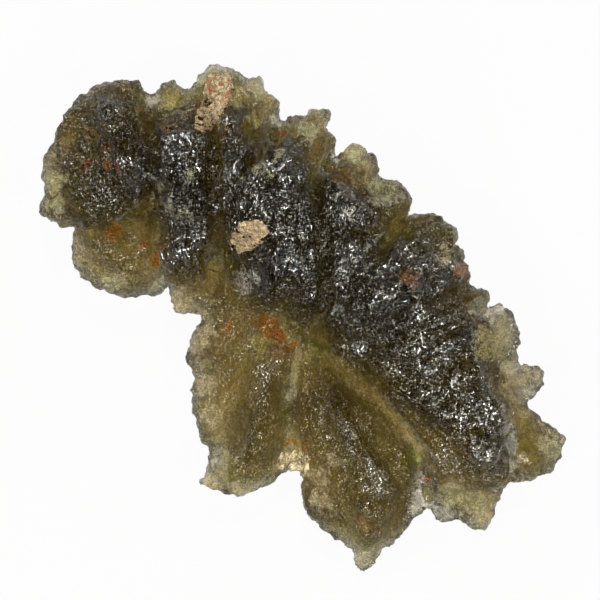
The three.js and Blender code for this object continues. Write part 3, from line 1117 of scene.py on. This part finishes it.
@dataclass
class Stone:
    """The glass itself: the solid's shape, with its etched relief cut finely into it.

    Attributes:
        creases: The lines that are cut in.
        crests: The lines that stand up.
        stains: The spots that each soil has coloured, and those where highlights are painted on.
        sheens: The spots whose gloss is unlike their surroundings, each with its gloss.
        weld: How near to each other the solid's corners are joined, mm.
        voxel: Spacing of the fine mesh, mm.
        smoothing: How many times the solid's flat faces are smoothed out.
        flute: Across and depth of the long flutes, mm.
        cup: Across and depth of the round cups, mm.
        pit: Across and depth of the pits, mm.
        swell: How far the smoothed surface is pushed back out, mm.
        seed: Which of the possible reliefs it has.
        seed_step: How far the next seed's relief lies away, mm.
        warp: The noise that bends the flutes and cups.
        warp_far: Twice the farthest that it bends them, mm.
        flute_height: How the flutes deepen with height over the floor in mm.
        rugged: Where the cups and pits are deep and shallow.
        rugged_height: How they deepen with height over the floor in mm.
        line_top: How creases and crests fade on faces that turn away from above.
        crease_power: How round a crease's middle is; 1 is sharp.
        crest_power: How round a crest's middle is; 1 is sharp.
        teeth: The noise that notches the rims.
        rim: How deep that goes in mm, by how far the face looks up or down.
        spot_facing: How far a face has to look up to carry a spot, -1 to 1.
        spot_edge: How a spot fades, by the distance from its middle in radii.
        spot_grain: The noise that makes its outline ragged.
        stain_ragged: How ragged a stain is, mm.
        sheen_ragged: How ragged a spot of other gloss is, mm.
        ray_start: How far inside the surface the thickness is measured from, mm.
        ray_blur: How many times the measured thickness is evened out.
    """

    creases: list[Line]
    crests: list[Line]
    stains: dict[Soil, list[Spot]]
    sheens: list[tuple[Spot, float]]
    weld: float = 0.001
    voxel: float = 0.178
    smoothing: int = 6
    flute: tuple[float, float] = (1.5, 0.55)
    cup: tuple[float, float] = (1.1, 0.3)
    pit: tuple[float, float] = (0.55, 0.12)
    swell: float = 0.13
    seed: int = 3
    seed_step: Triple = (17.3, 5.1, 9.7)
    warp: Grain = Grain(2.6, 2.0)
    warp_far: float = 1.8
    flute_height: Band = Band(4.0, 7.0, (0.45, 1.0))
    rugged: Patches = Patches(Grain(3.0, 2.0), Band(0.35, 0.6, (0.35, 1.0)))
    rugged_height: Band = Band(4.0, 7.0, (0.75, 1.0))
    line_top: Band = Band(-0.1, 0.3)
    crease_power: float = 1.6
    crest_power: float = 1.2
    teeth: Grain = Grain(0.5, 3.0)
    rim: Band = Band(0.7, 0.3, (0.0, 0.75))
    spot_facing: float = -0.1
    spot_edge: Band = Band(1.15, 0.4)
    spot_grain: Grain = Grain(0.8, 3.0)
    stain_ragged: float = 2.0
    sheen_ragged: float = 2.5
    ray_start: float = 0.1
    ray_blur: int = 6

    def build(self, glass: bpy.types.Material) -> bpy.types.Object:
        """Makes the stone's mesh.

        Args:
            glass: What it is made of.

        Returns:
            The stone.
        """
        core = self._core()
        drawings = {
            "Creases": draw_lines("creases", self.creases),
            "Crests": draw_lines("crests", self.crests),
            "Stains": self._stained(),
            "Sheens": self._polished(),
        }
        values = {
            "Flute Width": self.flute[0],
            "Flute Depth": self.flute[1],
            "Cup Width": self.cup[0],
            "Cup Depth": self.cup[1],
            "Pit Width": self.pit[0],
            "Pit Depth": self.pit[1],
            "Seed": float(self.seed),
        }
        tree = self._relief(list(values), list(drawings))
        add_nodes(core, tree, values | drawings | {"Material": glass})
        stone = bake(core, "stone")
        for drawing in drawings.values():
            bpy.data.objects.remove(drawing)
        return stone

    def _core(self) -> bpy.types.Object:
        """Makes the stone without its fine relief: the solid, finely meshed and smoothed.

        Returns:
            The object, with its modifiers.
        """
        shape = bmesh.new()
        shape.from_mesh(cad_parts[NODE].data)
        bmesh.ops.remove_doubles(shape, verts=shape.verts, dist=self.weld * MM)
        mesh = bpy.data.meshes.new("stone_core")
        shape.to_mesh(mesh)
        shape.free()
        core = add_object("stone_core", mesh)
        remesh = core.modifiers.new("fine_mesh", "REMESH")
        remesh.mode = "VOXEL"
        remesh.voxel_size = self.voxel * MM * 1
        core.modifiers.new("soften", "SMOOTH").iterations = self.smoothing
        return core

    def _stained(self) -> bpy.types.Object:
        """Sets out the stains.

        Returns:
            Their drawing.
        """
        laid = [(soil, spot) for soil, spots in self.stains.items() for spot in spots]
        notes = {
            SOIL: [(1.0, soil.body, soil.gloss) for soil, _ in laid],
            SOIL_COLOUR: [soil.colour for soil, _ in laid],
        }
        return draw_spots("stains", [spot for _, spot in laid], notes)

    def _polished(self) -> bpy.types.Object:
        """Sets out the spots whose gloss is unlike their surroundings.

        Returns:
            Their drawing.
        """
        spots = [spot for spot, _ in self.sheens]
        return draw_spots("sheens", spots, {SHEEN: [(1.0, gloss, 0.0) for _, gloss in self.sheens]})

    def _relief(self, numbers: list[str], drawings: list[str]) -> bpy.types.NodeTree:
        """Makes the node tree that etches the relief into a surface and notes its looks.

        Args:
            numbers: The names of its inputs that are numbers.
            drawings: The names of its inputs that are drawings.

        Returns:
            The tree.
        """
        inputs = dict.fromkeys(numbers, "Float") | dict.fromkeys(drawings, "Object")
        tree, given = new_tree("etched_relief", inputs | {"Material": "Material"})
        graph = Graph(tree)
        normal = graph.normal()
        upward = graph.split(normal)["Z"]
        depth = self._etched(graph, given, graph.millimetres(graph.here()), upward)
        inwards = graph.vector("SCALE", normal, scale=graph.math("MULTIPLY", depth, -MM))
        moves = {"Geometry": given["Geometry"], "Offset": inwards}
        etched = graph.add("GeometryNodeSetPosition", moves).outputs[0]
        over_floor = graph.vector("MAXIMUM", graph.here(), LOWEST)
        moves = {"Geometry": etched, "Position": over_floor}
        shape = graph.add("GeometryNodeSetPosition", moves).outputs[0]

        shape = self._measured(graph, shape)
        stains = {SOIL: True, SOIL_COLOUR: False}
        shape = self._noted(graph, shape, given["Stains"], self.stain_ragged, stains)
        shape = self._noted(graph, shape, given["Sheens"], self.sheen_ragged, {SHEEN: True})
        graph.finish(shape, given["Material"])
        return tree

    def _etched(self, graph: Graph, given: dict[str, Socket], place: Socket, upward: Socket) -> Socket:
        """Works out how deep the surface is cut.

        Args:
            graph: The relief's nodes.
            given: Its inputs.
            place: The place on the stone, mm.
            upward: How far the face looks up, -1 to 1.

        Returns:
            The depth, mm.
        """
        moved = graph.vector("ADD", place, graph.vector("SCALE", self.seed_step, scale=given["Seed"]))
        warp = graph.wander(moved, self.warp, self.warp_far)
        flutes = graph.cup(graph.fanned(graph.vector("ADD", place, warp)), given["Flute Width"])
        cups = graph.cup(graph.vector("ADD", moved, warp), given["Cup Width"])
        pits = graph.cup(moved, given["Pit Width"])
        height = graph.split(place)["Z"]
        rugged = graph.patches(moved, self.rugged)
        rugged = graph.product(rugged, graph.ramp(height, self.rugged_height))
        shares = {"Flute": graph.ramp(height, self.flute_height), "Cup": rugged, "Pit": rugged}
        depth = 0.0
        for (label, share), hollow in zip(shares.items(), (flutes, cups, pits)):
            about = graph.math("SUBTRACT", hollow, 0.5)
            depth = graph.math("ADD", depth, graph.product(about, given[f"{label} Depth"], share))

        on_top = graph.ramp(upward, self.line_top)
        for label, power in (("Creases", self.crease_power), ("Crests", self.crest_power)):
            raised = graph.product(self._along(graph, given[label], power), on_top)
            depth = graph.math("SUBTRACT", depth, raised)
        teeth = graph.math("SUBTRACT", graph.noise(moved, self.teeth), 0.5)
        rim = graph.ramp(graph.math("ABSOLUTE", upward), self.rim)
        depth = graph.math("ADD", depth, graph.product(teeth, rim))
        return graph.math("SUBTRACT", depth, self.swell)

    def _along(self, graph: Graph, lines: Socket, power: float) -> Socket:
        """Works out how far lines raise the surface.

        Args:
            graph: The relief's nodes.
            lines: The object that holds them.
            power: 1 for a sharp crest; more for one with a rounder middle and a sharper edge.

        Returns:
            The height, mm.
        """
        drawing = graph.shape_of(lines)
        flat = graph.flattened(graph.here())
        edge = graph.nearest(drawing, flat, "EDGE")
        reach = graph.sampled(drawing, edge, "reach", "EDGE", "FLOAT")
        height = graph.sampled(drawing, edge, "height", "EDGE", "FLOAT")
        given = {"Geometry": drawing, "Sample Position": flat}
        near = graph.add("GeometryNodeProximity", given, target_element="EDGES").outputs["Distance"]
        share = graph.math("DIVIDE", graph.math("DIVIDE", near, MM), reach)
        share = graph.math("POWER", graph.math("MINIMUM", share, 1.0), power)
        return graph.product(graph.math("SUBTRACT", 1.0, share), height)

    def _measured(self, graph: Graph, shape: Socket) -> Socket:
        """Notes on every point how thick the glass is there, in millimetres.

        Args:
            graph: The relief's nodes.
            shape: The etched stone.

        Returns:
            The stone with its notes.
        """
        side = graph.math("SIGN", graph.split(graph.normal())["Z"])
        inwards = graph.vector("SCALE", (0.0, 0.0, -1.0), scale=side)
        start = graph.vector("SCALE", inwards, scale=self.ray_start * MM)
        start = graph.vector("ADD", graph.here(), start)
        given = {"Target Geometry": shape, "Source Position": start, "Ray Direction": inwards}
        ray = graph.add("GeometryNodeRaycast", given).outputs
        thick = graph.math("DIVIDE", graph.product(ray["Hit Distance"], ray["Is Hit"]), MM)
        blur = {0: thick, "Iterations": self.ray_blur}
        thick = graph.add("GeometryNodeBlurAttribute", blur).outputs[0]
        given = {"Geometry": shape, "Name": THICKNESS, "Value": thick}
        return graph.add("GeometryNodeStoreNamedAttribute", given).outputs[0]

    def _noted(
        self, graph: Graph, shape: Socket, spots: Socket, ragged: float, notes: dict[str, bool]
    ) -> Socket:
        """Notes on every point what the nearest of some spots says.

        Args:
            graph: The relief's nodes.
            shape: The stone.
            spots: The object that holds the spots.
            ragged: How ragged their outlines are, mm.
            notes: The names that are noted, and whether the first number of each fades towards
                the spot's edge.

        Returns:
            The stone with its notes.
        """
        drawing = graph.shape_of(spots)
        here = graph.here()
        shift = graph.wander(graph.millimetres(here), self.spot_grain, ragged * MM)
        flat = graph.flattened(graph.vector("ADD", here, shift))
        spot = graph.nearest(drawing, flat, "POINT")
        middle = graph.sampled(drawing, spot, here, "POINT", "FLOAT_VECTOR")
        reach = graph.sampled(drawing, spot, "reach", "POINT", "FLOAT")
        away = graph.math("DIVIDE", graph.vector("DISTANCE", flat, middle), MM)
        share = graph.ramp(graph.math("DIVIDE", away, reach), self.spot_edge)
        on_top = graph.math("GREATER_THAN", graph.split(graph.normal())["Z"], self.spot_facing)
        fading = {"X": graph.product(share, on_top), "Y": 1.0, "Z": 1.0}
        fading = graph.add("ShaderNodeCombineXYZ", fading).outputs[0]
        for name, fades in notes.items():
            value = graph.sampled(drawing, spot, name, "POINT", "FLOAT_VECTOR")
            if fades:
                value = graph.vector("MULTIPLY", value, fading)
            given = {"Geometry": shape, "Name": name}
            store = graph.add("GeometryNodeStoreNamedAttribute", given, data_type="FLOAT_VECTOR")
            graph.feed(enabled(store.inputs, "Value"), value)
            shape = store.outputs[0]
        return shape


# ---- the soil --------------------------------------------------------------------------------


@dataclass
class SoilCrust:
    """Dry clay that is still stuck in hollows of the stone: a thin crust with crumbs on it.

    Attributes:
        patches: The outline of each patch, mm.
        thick: How far the crust stands off the glass, mm.
        crumb: Radius of a crumb, mm.
        crumb_sizes: The smallest and the largest crumb, in such radii.
        crumb_fineness: How round a crumb is: 1 for 20 faces, 2 for 80.
        crowding: How many crumbs a square millimetre carries.
        seed: Which of the possible scatterings it has.
        outline: The noise that makes its outline ragged.
        ragged: How ragged it is, mm.
        reach: How far past its patch it may go, mm.
        crumb_reach: How far past its patch crumbs may lie, mm.
        facing: How far a face has to look up to carry it, 0 to 1.
        fineness: How many times its mesh halves that of the stone.
        evening: How many times it evens out the relief below it.
        lumps: How its thickness varies.
        taper: How it thins from its patch outwards, by the distance in mm; below 0 it dips.
    """

    patches: list[list[Place]]
    thick: float = 0.22
    crumb: float = 0.075
    crumb_sizes: tuple[float, float] = (0.5, 1.4)
    crumb_fineness: int = 2
    crowding: float = 26.0
    seed: int = 11
    outline: Grain = Grain(0.5, 3.0)
    ragged: float = 0.9
    reach: float = 0.3
    crumb_reach: float = 0.1
    facing: float = 0.05
    fineness: int = 1
    evening: int = 14
    lumps: Patches = Patches(Grain(0.5, 3.0), Band(0.3, 0.7, (0.6, 1.3)))
    taper: Band = Band(0.3, 0.05, (-0.4, 1.0))

    def build(self, stone: bpy.types.Object, clay: bpy.types.Material) -> bpy.types.Object:
        """Makes the crust's mesh.

        Args:
            stone: What it sticks to.
            clay: What it is made of.

        Returns:
            The crust.
        """
        corners, faces = [], []
        for patch in self.patches:
            faces.append(range(len(corners), len(corners) + len(patch)))
            corners += [(x * MM, y * MM, 0.0) for x, y in patch]
        outlines = draw("clay_outlines", corners, faces=faces)
        core = draw("crust_core", [])
        values = {
            "Stone": stone,
            "Patches": outlines,
            "Thickness": self.thick,
            "Crumb Radius": self.crumb,
            "Crowding": self.crowding,
            "Seed": self.seed,
            "Material": clay,
        }
        add_nodes(core, self._tree(), values)
        crust = bake(core, "soil_crust")
        bpy.data.objects.remove(outlines)
        return crust

    def _tree(self) -> bpy.types.NodeTree:
        """Makes the node tree that lays the crust and scatters crumbs over it.

        Returns:
            The tree.
        """
        inputs = dict.fromkeys(("Stone", "Patches"), "Object")
        inputs |= dict.fromkeys(("Thickness", "Crumb Radius", "Crowding"), "Float")
        tree, given = new_tree("soil_crust", inputs | {"Seed": "Int", "Material": "Material"})
        graph = Graph(tree)
        here = graph.here()
        place = graph.millimetres(here)
        shift = graph.wander(place, self.outline, self.ragged * MM)
        near = {"Geometry": graph.shape_of(given["Patches"])}
        near["Sample Position"] = graph.flattened(graph.vector("ADD", here, shift))
        near = graph.add("GeometryNodeProximity", near, target_element="FACES")
        off = graph.math("DIVIDE", near.outputs["Distance"], MM)
        sheet = self._sheet(graph, given, place, off)
        crumbs = self._crumbs(graph, given, sheet, off)
        whole = graph.add("GeometryNodeJoinGeometry")
        for part in (sheet, crumbs):
            graph.feed(whole.inputs[0], part)
        graph.finish(whole.outputs[0], given["Material"])
        return tree

    def _sheet(self, graph: Graph, given: dict[str, Socket], place: Socket, off: Socket) -> Socket:
        """Lifts a thin sheet off the stone where the clay lies.

        Args:
            graph: The tree's nodes.
            given: Its inputs.
            place: The place on the stone, mm.
            off: How far outside the patches that is, mm.

        Returns:
            The sheet.
        """
        normal = graph.normal()
        facing = graph.math("GREATER_THAN", graph.split(normal)["Z"], self.facing)
        kept = graph.product(graph.math("LESS_THAN", off, self.reach), facing)
        cut = {"Geometry": graph.shape_of(given["Stone"]), "Selection": kept}
        sheet = graph.add("GeometryNodeSeparateGeometry", cut, domain="FACE").outputs[0]
        finer = {"Mesh": sheet, "Level": self.fineness}
        sheet = graph.add("GeometryNodeSubdivideMesh", finer).outputs[0]
        evened = graph.add(
            "GeometryNodeBlurAttribute", {"Iterations": self.evening}, data_type="FLOAT_VECTOR"
        )
        graph.feed(enabled(evened.inputs, "Value"), graph.here())
        moves = {"Geometry": sheet, "Position": evened.outputs[0]}
        sheet = graph.add("GeometryNodeSetPosition", moves).outputs[0]
        lumps = graph.patches(place, self.lumps)
        lift = graph.product(lumps, graph.ramp(off, self.taper), given["Thickness"])
        offset = graph.vector("SCALE", normal, scale=graph.math("MULTIPLY", lift, MM))
        return graph.add("GeometryNodeSetPosition", {"Geometry": sheet, "Offset": offset}).outputs[0]

    def _crumbs(self, graph: Graph, given: dict[str, Socket], sheet: Socket, off: Socket) -> Socket:
        """Scatters crumbs over the sheet.

        Args:
            graph: The tree's nodes.
            given: Its inputs.
            sheet: The sheet.
            off: How far outside the patches a place is, mm.

        Returns:
            The crumbs.
        """
        scatter = {
            "Mesh": sheet,
            "Selection": graph.math("LESS_THAN", off, self.crumb_reach),
            "Density": graph.math("DIVIDE", given["Crowding"], MM * MM),
            "Seed": given["Seed"],
        }
        points = graph.add("GeometryNodeDistributePointsOnFaces", scatter).outputs["Points"]
        sizes = {"Radius": MM, "Subdivisions": self.crumb_fineness}
        ball = graph.add("GeometryNodeMeshIcoSphere", sizes).outputs[0]
        turn = self._drawn(graph, given, (0.0, 2 * math.pi))
        size = self._drawn(graph, given, self.crumb_sizes)
        size = graph.vector("SCALE", size, scale=given["Crumb Radius"])
        placed = {"Points": points, "Instance": ball, "Rotation": turn, "Scale": size}
        return graph.add("GeometryNodeInstanceOnPoints", placed).outputs[0]

    def _drawn(self, graph: Graph, given: dict[str, Socket], limits: tuple[float, float]) -> Socket:
        """Draws three numbers for each crumb.

        Args:
            graph: The tree's nodes.
            given: Its inputs.
            limits: The least and the most that each may be.

        Returns:
            The numbers, as a vector.
        """
        drawn = {0: (limits[0],) * 3, 1: (limits[1],) * 3, "Seed": given["Seed"]}
        return graph.add("FunctionNodeRandomValue", drawn, data_type="FLOAT_VECTOR").outputs[0]


# ---- the studio ------------------------------------------------------------------------------


@dataclass(frozen=True)
class Lamp:
    """A soft round lamp that shines at the stone.

    Attributes:
        turn: Its bearing, degrees clockwise from the far side.
        rise: Its height over the floor, as an angle in degrees.
        colour: The colour of its light.
        across: Its width, mm.
        away: How far from the stone it is, mm.
        power: The power that it would need a metre away, watts.
    """

    turn: float
    rise: float
    colour: Colour
    across: float = 44.0
    away: float = 220.0
    power: float = 5.2

    def build(self, name: str) -> None:
        """Adds the lamp.

        Args:
            name: Its name.
        """
        away = self.away * MM
        lamp = bpy.data.lights.new(name, "AREA")
        lamp.shape = "DISK"
        lamp.size = self.across * MM
        lamp.color = self.colour
        lamp.energy = self.power * away**2
        holder = bpy.data.objects.new(name, lamp)
        bearing, height = math.radians(self.turn), math.radians(self.rise)
        flat = Vector((math.sin(bearing), math.cos(bearing), 0)) * math.cos(height)
        holder.location = (flat + Vector((0, 0, math.sin(height)))) * away
        holder.rotation_euler = holder.location.to_track_quat("Z", "Y").to_euler()
        bpy.context.scene.collection.objects.link(holder)


@dataclass
class Studio:
    """A pale floor, soft light and a camera that looks straight down on the stone.

    Attributes:
        middle: The place that the camera looks at, mm.
        across: The width that it takes in at that height, mm.
        lens: Its focal length, mm.
        sensor: The width of its sensor, mm.
        clip: How near and how far it sees, m.
        lamps: How many lamps stand round the stone.
        lamp_rises: The heights that they have in turn, as angles in degrees.
        lamp_colours: The colours that they have in turn.
        walls: How bright the room is, from its walls to its ceiling.
        floor_half: Half the floor's width, m.
        floor_low: How far the floor lies below the stone, mm.
    """

    middle: Triple = (-0.38, 1.40, 3.0)
    across: float = 40.0
    lens: float = 100.0
    sensor: float = 36.0
    clip: tuple[float, float] = (0.005, 10.0)
    lamps: int = 6
    lamp_rises: tuple[float, float] = (52.0, 22.0)
    lamp_colours: tuple[Colour, Colour] = ((1.0, 0.97, 0.90), (0.92, 0.95, 1.0))
    walls: Band = Band(0.05, 0.4, (0.03, 0.01))
    floor_half: float = 0.6
    floor_low: float = 0.02

    def build(self, paper: bpy.types.Material) -> None:
        """Makes everything that isn't the stone.

        Args:
            paper: What the floor is made of.
        """
        self._floor(paper)
        self._world()
        for number in range(self.lamps):
            rise = self.lamp_rises[number % len(self.lamp_rises)]
            colour = self.lamp_colours[number % len(self.lamp_colours)]
            Lamp(360 * number / self.lamps, rise, colour).build(f"lamp_{number + 1}")
        self._camera()
        log.info("studio: %d lamps", self.lamps)

    def _floor(self, paper: bpy.types.Material) -> None:
        """Makes the floor.

        Args:
            paper: What it is made of.
        """
        half, low = self.floor_half, -self.floor_low * MM
        corners = [(-half, -half, low), (half, -half, low), (half, half, low), (-half, half, low)]
        floor = draw("floor", corners, faces=[(0, 1, 2, 3)])
        floor.data.materials.append(paper)

    def _world(self) -> None:
        """Makes a dim room with an even dimmer ceiling."""
        world = bpy.data.worlds.new("room")
        world.use_nodes = True
        graph = Graph(world.node_tree)
        heading = graph.add("ShaderNodeTexCoord").outputs["Generated"]
        background = world.node_tree.nodes["Background"]
        graph.feed(background.inputs["Color"], (1.0, 1.0, 1.0, 1.0))
        graph.feed(background.inputs["Strength"], graph.ramp(graph.split(heading)["Z"], self.walls))
        bpy.context.scene.world = world

    def _camera(self) -> None:
        """Sets the camera above the stone."""
        lens = bpy.data.cameras.new("camera")
        lens.lens, lens.sensor_width = self.lens, self.sensor
        lens.clip_start, lens.clip_end = self.clip
        height = self.across * self.lens / self.sensor
        camera = bpy.data.objects.new("camera", lens)
        camera.location = (Vector(self.middle) + Vector((0, 0, height))) * MM
        bpy.context.scene.collection.objects.link(camera)
        bpy.context.scene.camera = camera
        bpy.context.scene.view_settings.view_transform = "Standard"


# ---- where things are on the stone -----------------------------------------------------------

# Each line's places, half its width and its height; a crease's height is below 0.
CREASES = [
    Line(((-5.8, 12.5), (-5.9, 9.0), (-5.7, 6.0), (-5.8, 3.6), (-6.0, 2.4)), 0.5, -1.0),
    Line(((-10.4, 13.5), (-9.7, 11.5), (-9.4, 9.0), (-10.3, 7.0)), 0.55, -0.8),
    Line(((-13.8, 6.1), (-11.9, 6.3), (-10.1, 7.2), (-8.5, 8.2)), 0.5, -0.7),
    Line(((-10.0, 6.6), (-9.8, 4.5), (-9.6, 3.0)), 0.45, -0.8),
    Line(((-1.9, 12.4), (-2.7, 11.0), (-4.3, 9.0)), 0.6, -0.9),
    Line(((1.8, 10.7), (0.5, 8.8), (1.2, 5.0), (1.2, 1.5), (0.7, -0.2)), 0.55, -0.8),
    Line(((6.1, 6.4), (4.7, 4.6), (3.1, 2.6), (2.1, 0.8)), 0.55, -0.8),
    Line(((10.4, 2.2), (7.9, 1.0), (4.9, -0.2), (2.9, -1.0)), 0.8, -0.5),
    Line(((-4.1, 0.5), (-4.3, -3.0), (-5.5, -8.0), (-5.8, -10.8)), 0.7, -0.6),
    Line(((-0.6, -1.5), (-1.0, -5.0), (-1.0, -8.0), (-0.7, -9.9)), 0.7, -0.8),
    Line(((1.9, -2.8), (4.9, -5.5), (7.4, -8.5), (8.3, -11.8)), 1.0, -0.6),
    Line(((12.9, -4.5), (14.1, -7.0), (14.1, -10.0)), 0.6, -0.6),
    Line(((-9.0, 6.2), (-8.7, 2.7)), 0.3, -0.25),
    Line(((-8.1, 6.6), (-7.9, 2.7)), 0.3, -0.25),
    Line(((-7.2, 6.4), (-7.1, 2.8)), 0.3, -0.25),
    Line(((-4.0, 12.4), (-3.1, 11.9), (-2.2, 11.9)), 0.2, -0.3),
    Line(((-4.0, 11.8), (-3.1, 11.3), (-2.0, 11.3)), 0.2, -0.3),
    Line(((-4.2, 11.2), (-3.2, 10.7), (-1.9, 10.8)), 0.2, -0.3),
]

CRESTS = [
    Line(((-15.1, 7.2), (-13.7, 6.4)), 0.6, 0.5),
    Line(((-3.2, 9.4), (-2.4, 9.8), (-1.0, 10.8)), 0.75, 0.6),
    Line(((1.6, 8.1), (2.8, 7.1), (3.2, 5.9), (3.9, 4.9)), 0.45, 0.65),
    Line(((2.8, 7.2), (4.0, 6.3), (5.2, 5.4)), 0.45, 0.6),
    Line(((4.1, 0.5), (7.5, 1.9)), 0.45, 0.4),
    Line(((1.4, -3.5), (2.3, -6.2), (3.2, -8.2), (4.5, -9.5), (5.3, -11.0)), 0.8, 0.6),
    Line(((5.9, -4.0), (9.4, -6.0), (11.4, -8.5)), 0.7, 0.5),
    Line(((5.4, -4.5), (8.4, -8.0), (9.4, -10.0)), 0.5, 0.5),
    Line(((12.8, -5.0), (13.5, -6.0), (13.8, -8.5), (13.5, -10.0)), 0.5, 0.5),
    Line(((0.9, -1.2), (3.9, -1.9), (7.4, -1.8), (10.4, -0.9)), 0.6, 0.5),
    Line(((-8.5, 8.0), (-7.7, 7.4)), 0.7, 0.6),
]

# Where the surface has taken a soil's colour, and where pale grey highlights are painted on.
STAINS = {
    Soil.RUST: [
        (-2.6, -0.3, 1.0), (-0.9, -1.6, 0.6), (-5.0, -0.2, 0.6), (-12.6, 5.8, 0.7),
        (-9.7, 4.1, 0.6), (-12.7, 11.0, 0.4), (-12.7, 10.1, 0.5), (-1.7, 12.4, 0.5),
        (6.6, 2.8, 0.8), (10.3, 3.4, 0.8), (-0.9, -8.0, 0.5), (-0.2, -8.3, 0.4), (8.0, -10.4, 0.35),
    ],
    Soil.RED: [(-2.0, -0.9, 0.7), (-10.7, 5.2, 0.5), (-14.4, 10.3, 0.5), (-12.0, 9.9, 0.35)],
    Soil.BROWN: [
        (-3.3, 0.3, 0.9), (-13.8, 12.0, 0.6), (-8.7, 12.4, 1.0), (-5.2, 12.0, 0.6), (2.4, 9.2, 1.0),
        (3.5, -13.4, 0.7),
    ],
    Soil.PINK: [(-1.3, -1.8, 1.2)],
    Soil.PALE: [
        (-2.8, 9.7, 0.8), (-1.7, 10.4, 0.6), (-8.4, 7.3, 0.5), (-7.8, 6.9, 0.5), (-7.2, 6.6, 0.4),
        (-9.4, 8.4, 0.45), (-7.2, 9.1, 0.4), (9.7, -11.6, 1.2), (11.2, -12.0, 1.3),
        (3.2, 10.8, 1.1), (5.1, 8.5, 1.5), (2.9, 12.2, 0.5), (0.2, 12.3, 0.9), (-3.0, 15.0, 0.6),
        (16.3, -8.4, 1.1), (-16.4, 9.2, 1.0), (-16.2, 7.4, 0.8), (-12.6, 2.6, 0.9),
    ],
    Soil.CREAM: [(-3.9, 2.6, 0.9)],
    # Pale grey painted highlights along the bevel and the crests' branches.
    Soil.PAINTED_HIGHLIGHT: [
        (11.4, 0.9, 0.9), (1.9, 7.9, 0.25), (2.8, 6.9, 0.35), (3.2, 5.9, 0.3), (3.8, 4.9, 0.25),
        (4.2, 6.1, 0.25), (4.9, 5.6, 0.22), (3.4, 6.5, 0.25), (3.8, 3.6, 0.4), (12.8, -5.6, 0.4),
        (13.1, -6.8, 0.6), (13.4, -8.0, 0.7), (13.6, -9.2, 0.6),
    ],
    Soil.DUST: [
        (8.8, 4.3, 0.8), (-6.6, -0.8, 0.9), (-6.7, -4.2, 1.0), (-6.3, -6.4, 1.0),
        (-6.3, -10.7, 0.8), (-4.4, -11.0, 0.6), (0.7, -10.4, 0.9), (1.0, -12.0, 0.9),
        (-8.2, 1.4, 1.1), (-3.6, 15.4, 0.5), (12.1, -12.9, 0.8), (1.9, -9.3, 0.6),
    ],
    Soil.OLIVE: [
        (-3.0, -1.4, 0.9), (-4.3, 14.6, 1.0), (-8.6, 14.2, 1.1), (11.7, -1.5, 1.4),
        (-3.2, 13.0, 0.6),
    ],
    Soil.TAN: [(-0.5, -9.4, 1.5), (14.6, -9.3, 0.5)],
    Soil.GREEN: [(2.4, -13.2, 0.6), (0.6, -1.8, 0.9), (7.0, -9.0, 1.0)],
}

# Where the gloss is unlike its surroundings: the spot, and how much gloss there is.
SHEENS = [
    ((-13.5, 9.5, 2.6), 0.3), ((-11.4, 12.2, 1.8), 0.35), ((-9.9, 9.6, 1.3), 0.45),
    ((-12.4, 4.0, 2.6), 0.2), ((-8.5, 14.0, 1.8), 0.25), ((-4.5, 14.6, 2.2), 0.25),
    ((12.3, -1.2, 2.2), 0.2), ((3.0, 10.3, 1.6), 0.25), ((-2.0, -0.6, 2.2), 0.2),
    ((-5.2, -0.4, 1.5), 0.2), ((-4.2, -2.2, 1.0), 1.0), ((-3.2, -3.6, 1.3), 1.0),
    ((-1.8, -2.2, 0.9), 0.8), ((1.6, -5.0, 0.9), 0.5), ((2.2, -6.6, 0.9), 0.5),
    ((2.9, -8.2, 0.9), 0.6), ((3.8, -9.8, 0.9), 0.6), ((4.6, -11.2, 0.8), 0.5),
    ((6.2, -2.2, 1.4), 0.9), ((8.5, -4.0, 2.2), 1.0), ((10.5, -5.5, 2.2), 1.0),
    ((9.6, -8.2, 2.0), 1.0), ((13.2, -7.0, 1.4), 0.9), ((-7.9, 4.8, 1.8), 2.0),
    ((3.1, 5.0, 0.9), 2.2), ((4.6, 4.7, 0.7), 2.2), ((3.9, 3.7, 0.7), 2.0), ((0.7, 3.2, 1.2), 0.5),
    ((0.9, 0.9, 1.2), 0.5),
]

# The outlines of the two patches of dry clay, corner by corner.
CLAY_PATCHES = [
    [
        (-6.1, 15.9), (-5.0, 15.7), (-4.95, 14.9), (-5.4, 13.4), (-6.3, 12.2), (-7.0, 12.6),
        (-6.8, 13.7), (-6.5, 14.8),
    ],
    [(-4.45, 5.6), (-4.0, 6.1), (-2.9, 6.1), (-2.4, 5.8), (-2.9, 5.2), (-3.5, 4.6), (-4.3, 4.6)],
]


def main() -> None:
    """Builds the stone and the studio around it."""
    logging.basicConfig(level=logging.INFO, format="%(name)s: %(message)s")
    Studio().build(LitPaper().material())

    stone = Stone(CREASES, CRESTS, STAINS, SHEENS).build(EtchedGlass().material())
    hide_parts(NODE)
    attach(stone, BODY)
    log.info("stone: %d faces", len(stone.data.polygons))

    crust = SoilCrust(CLAY_PATCHES).build(stone, DryClay().material())
    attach(crust, BODY)
    log.info("soil_crust: %d faces", len(crust.data.polygons))


if __name__ == "__main__":
    main()
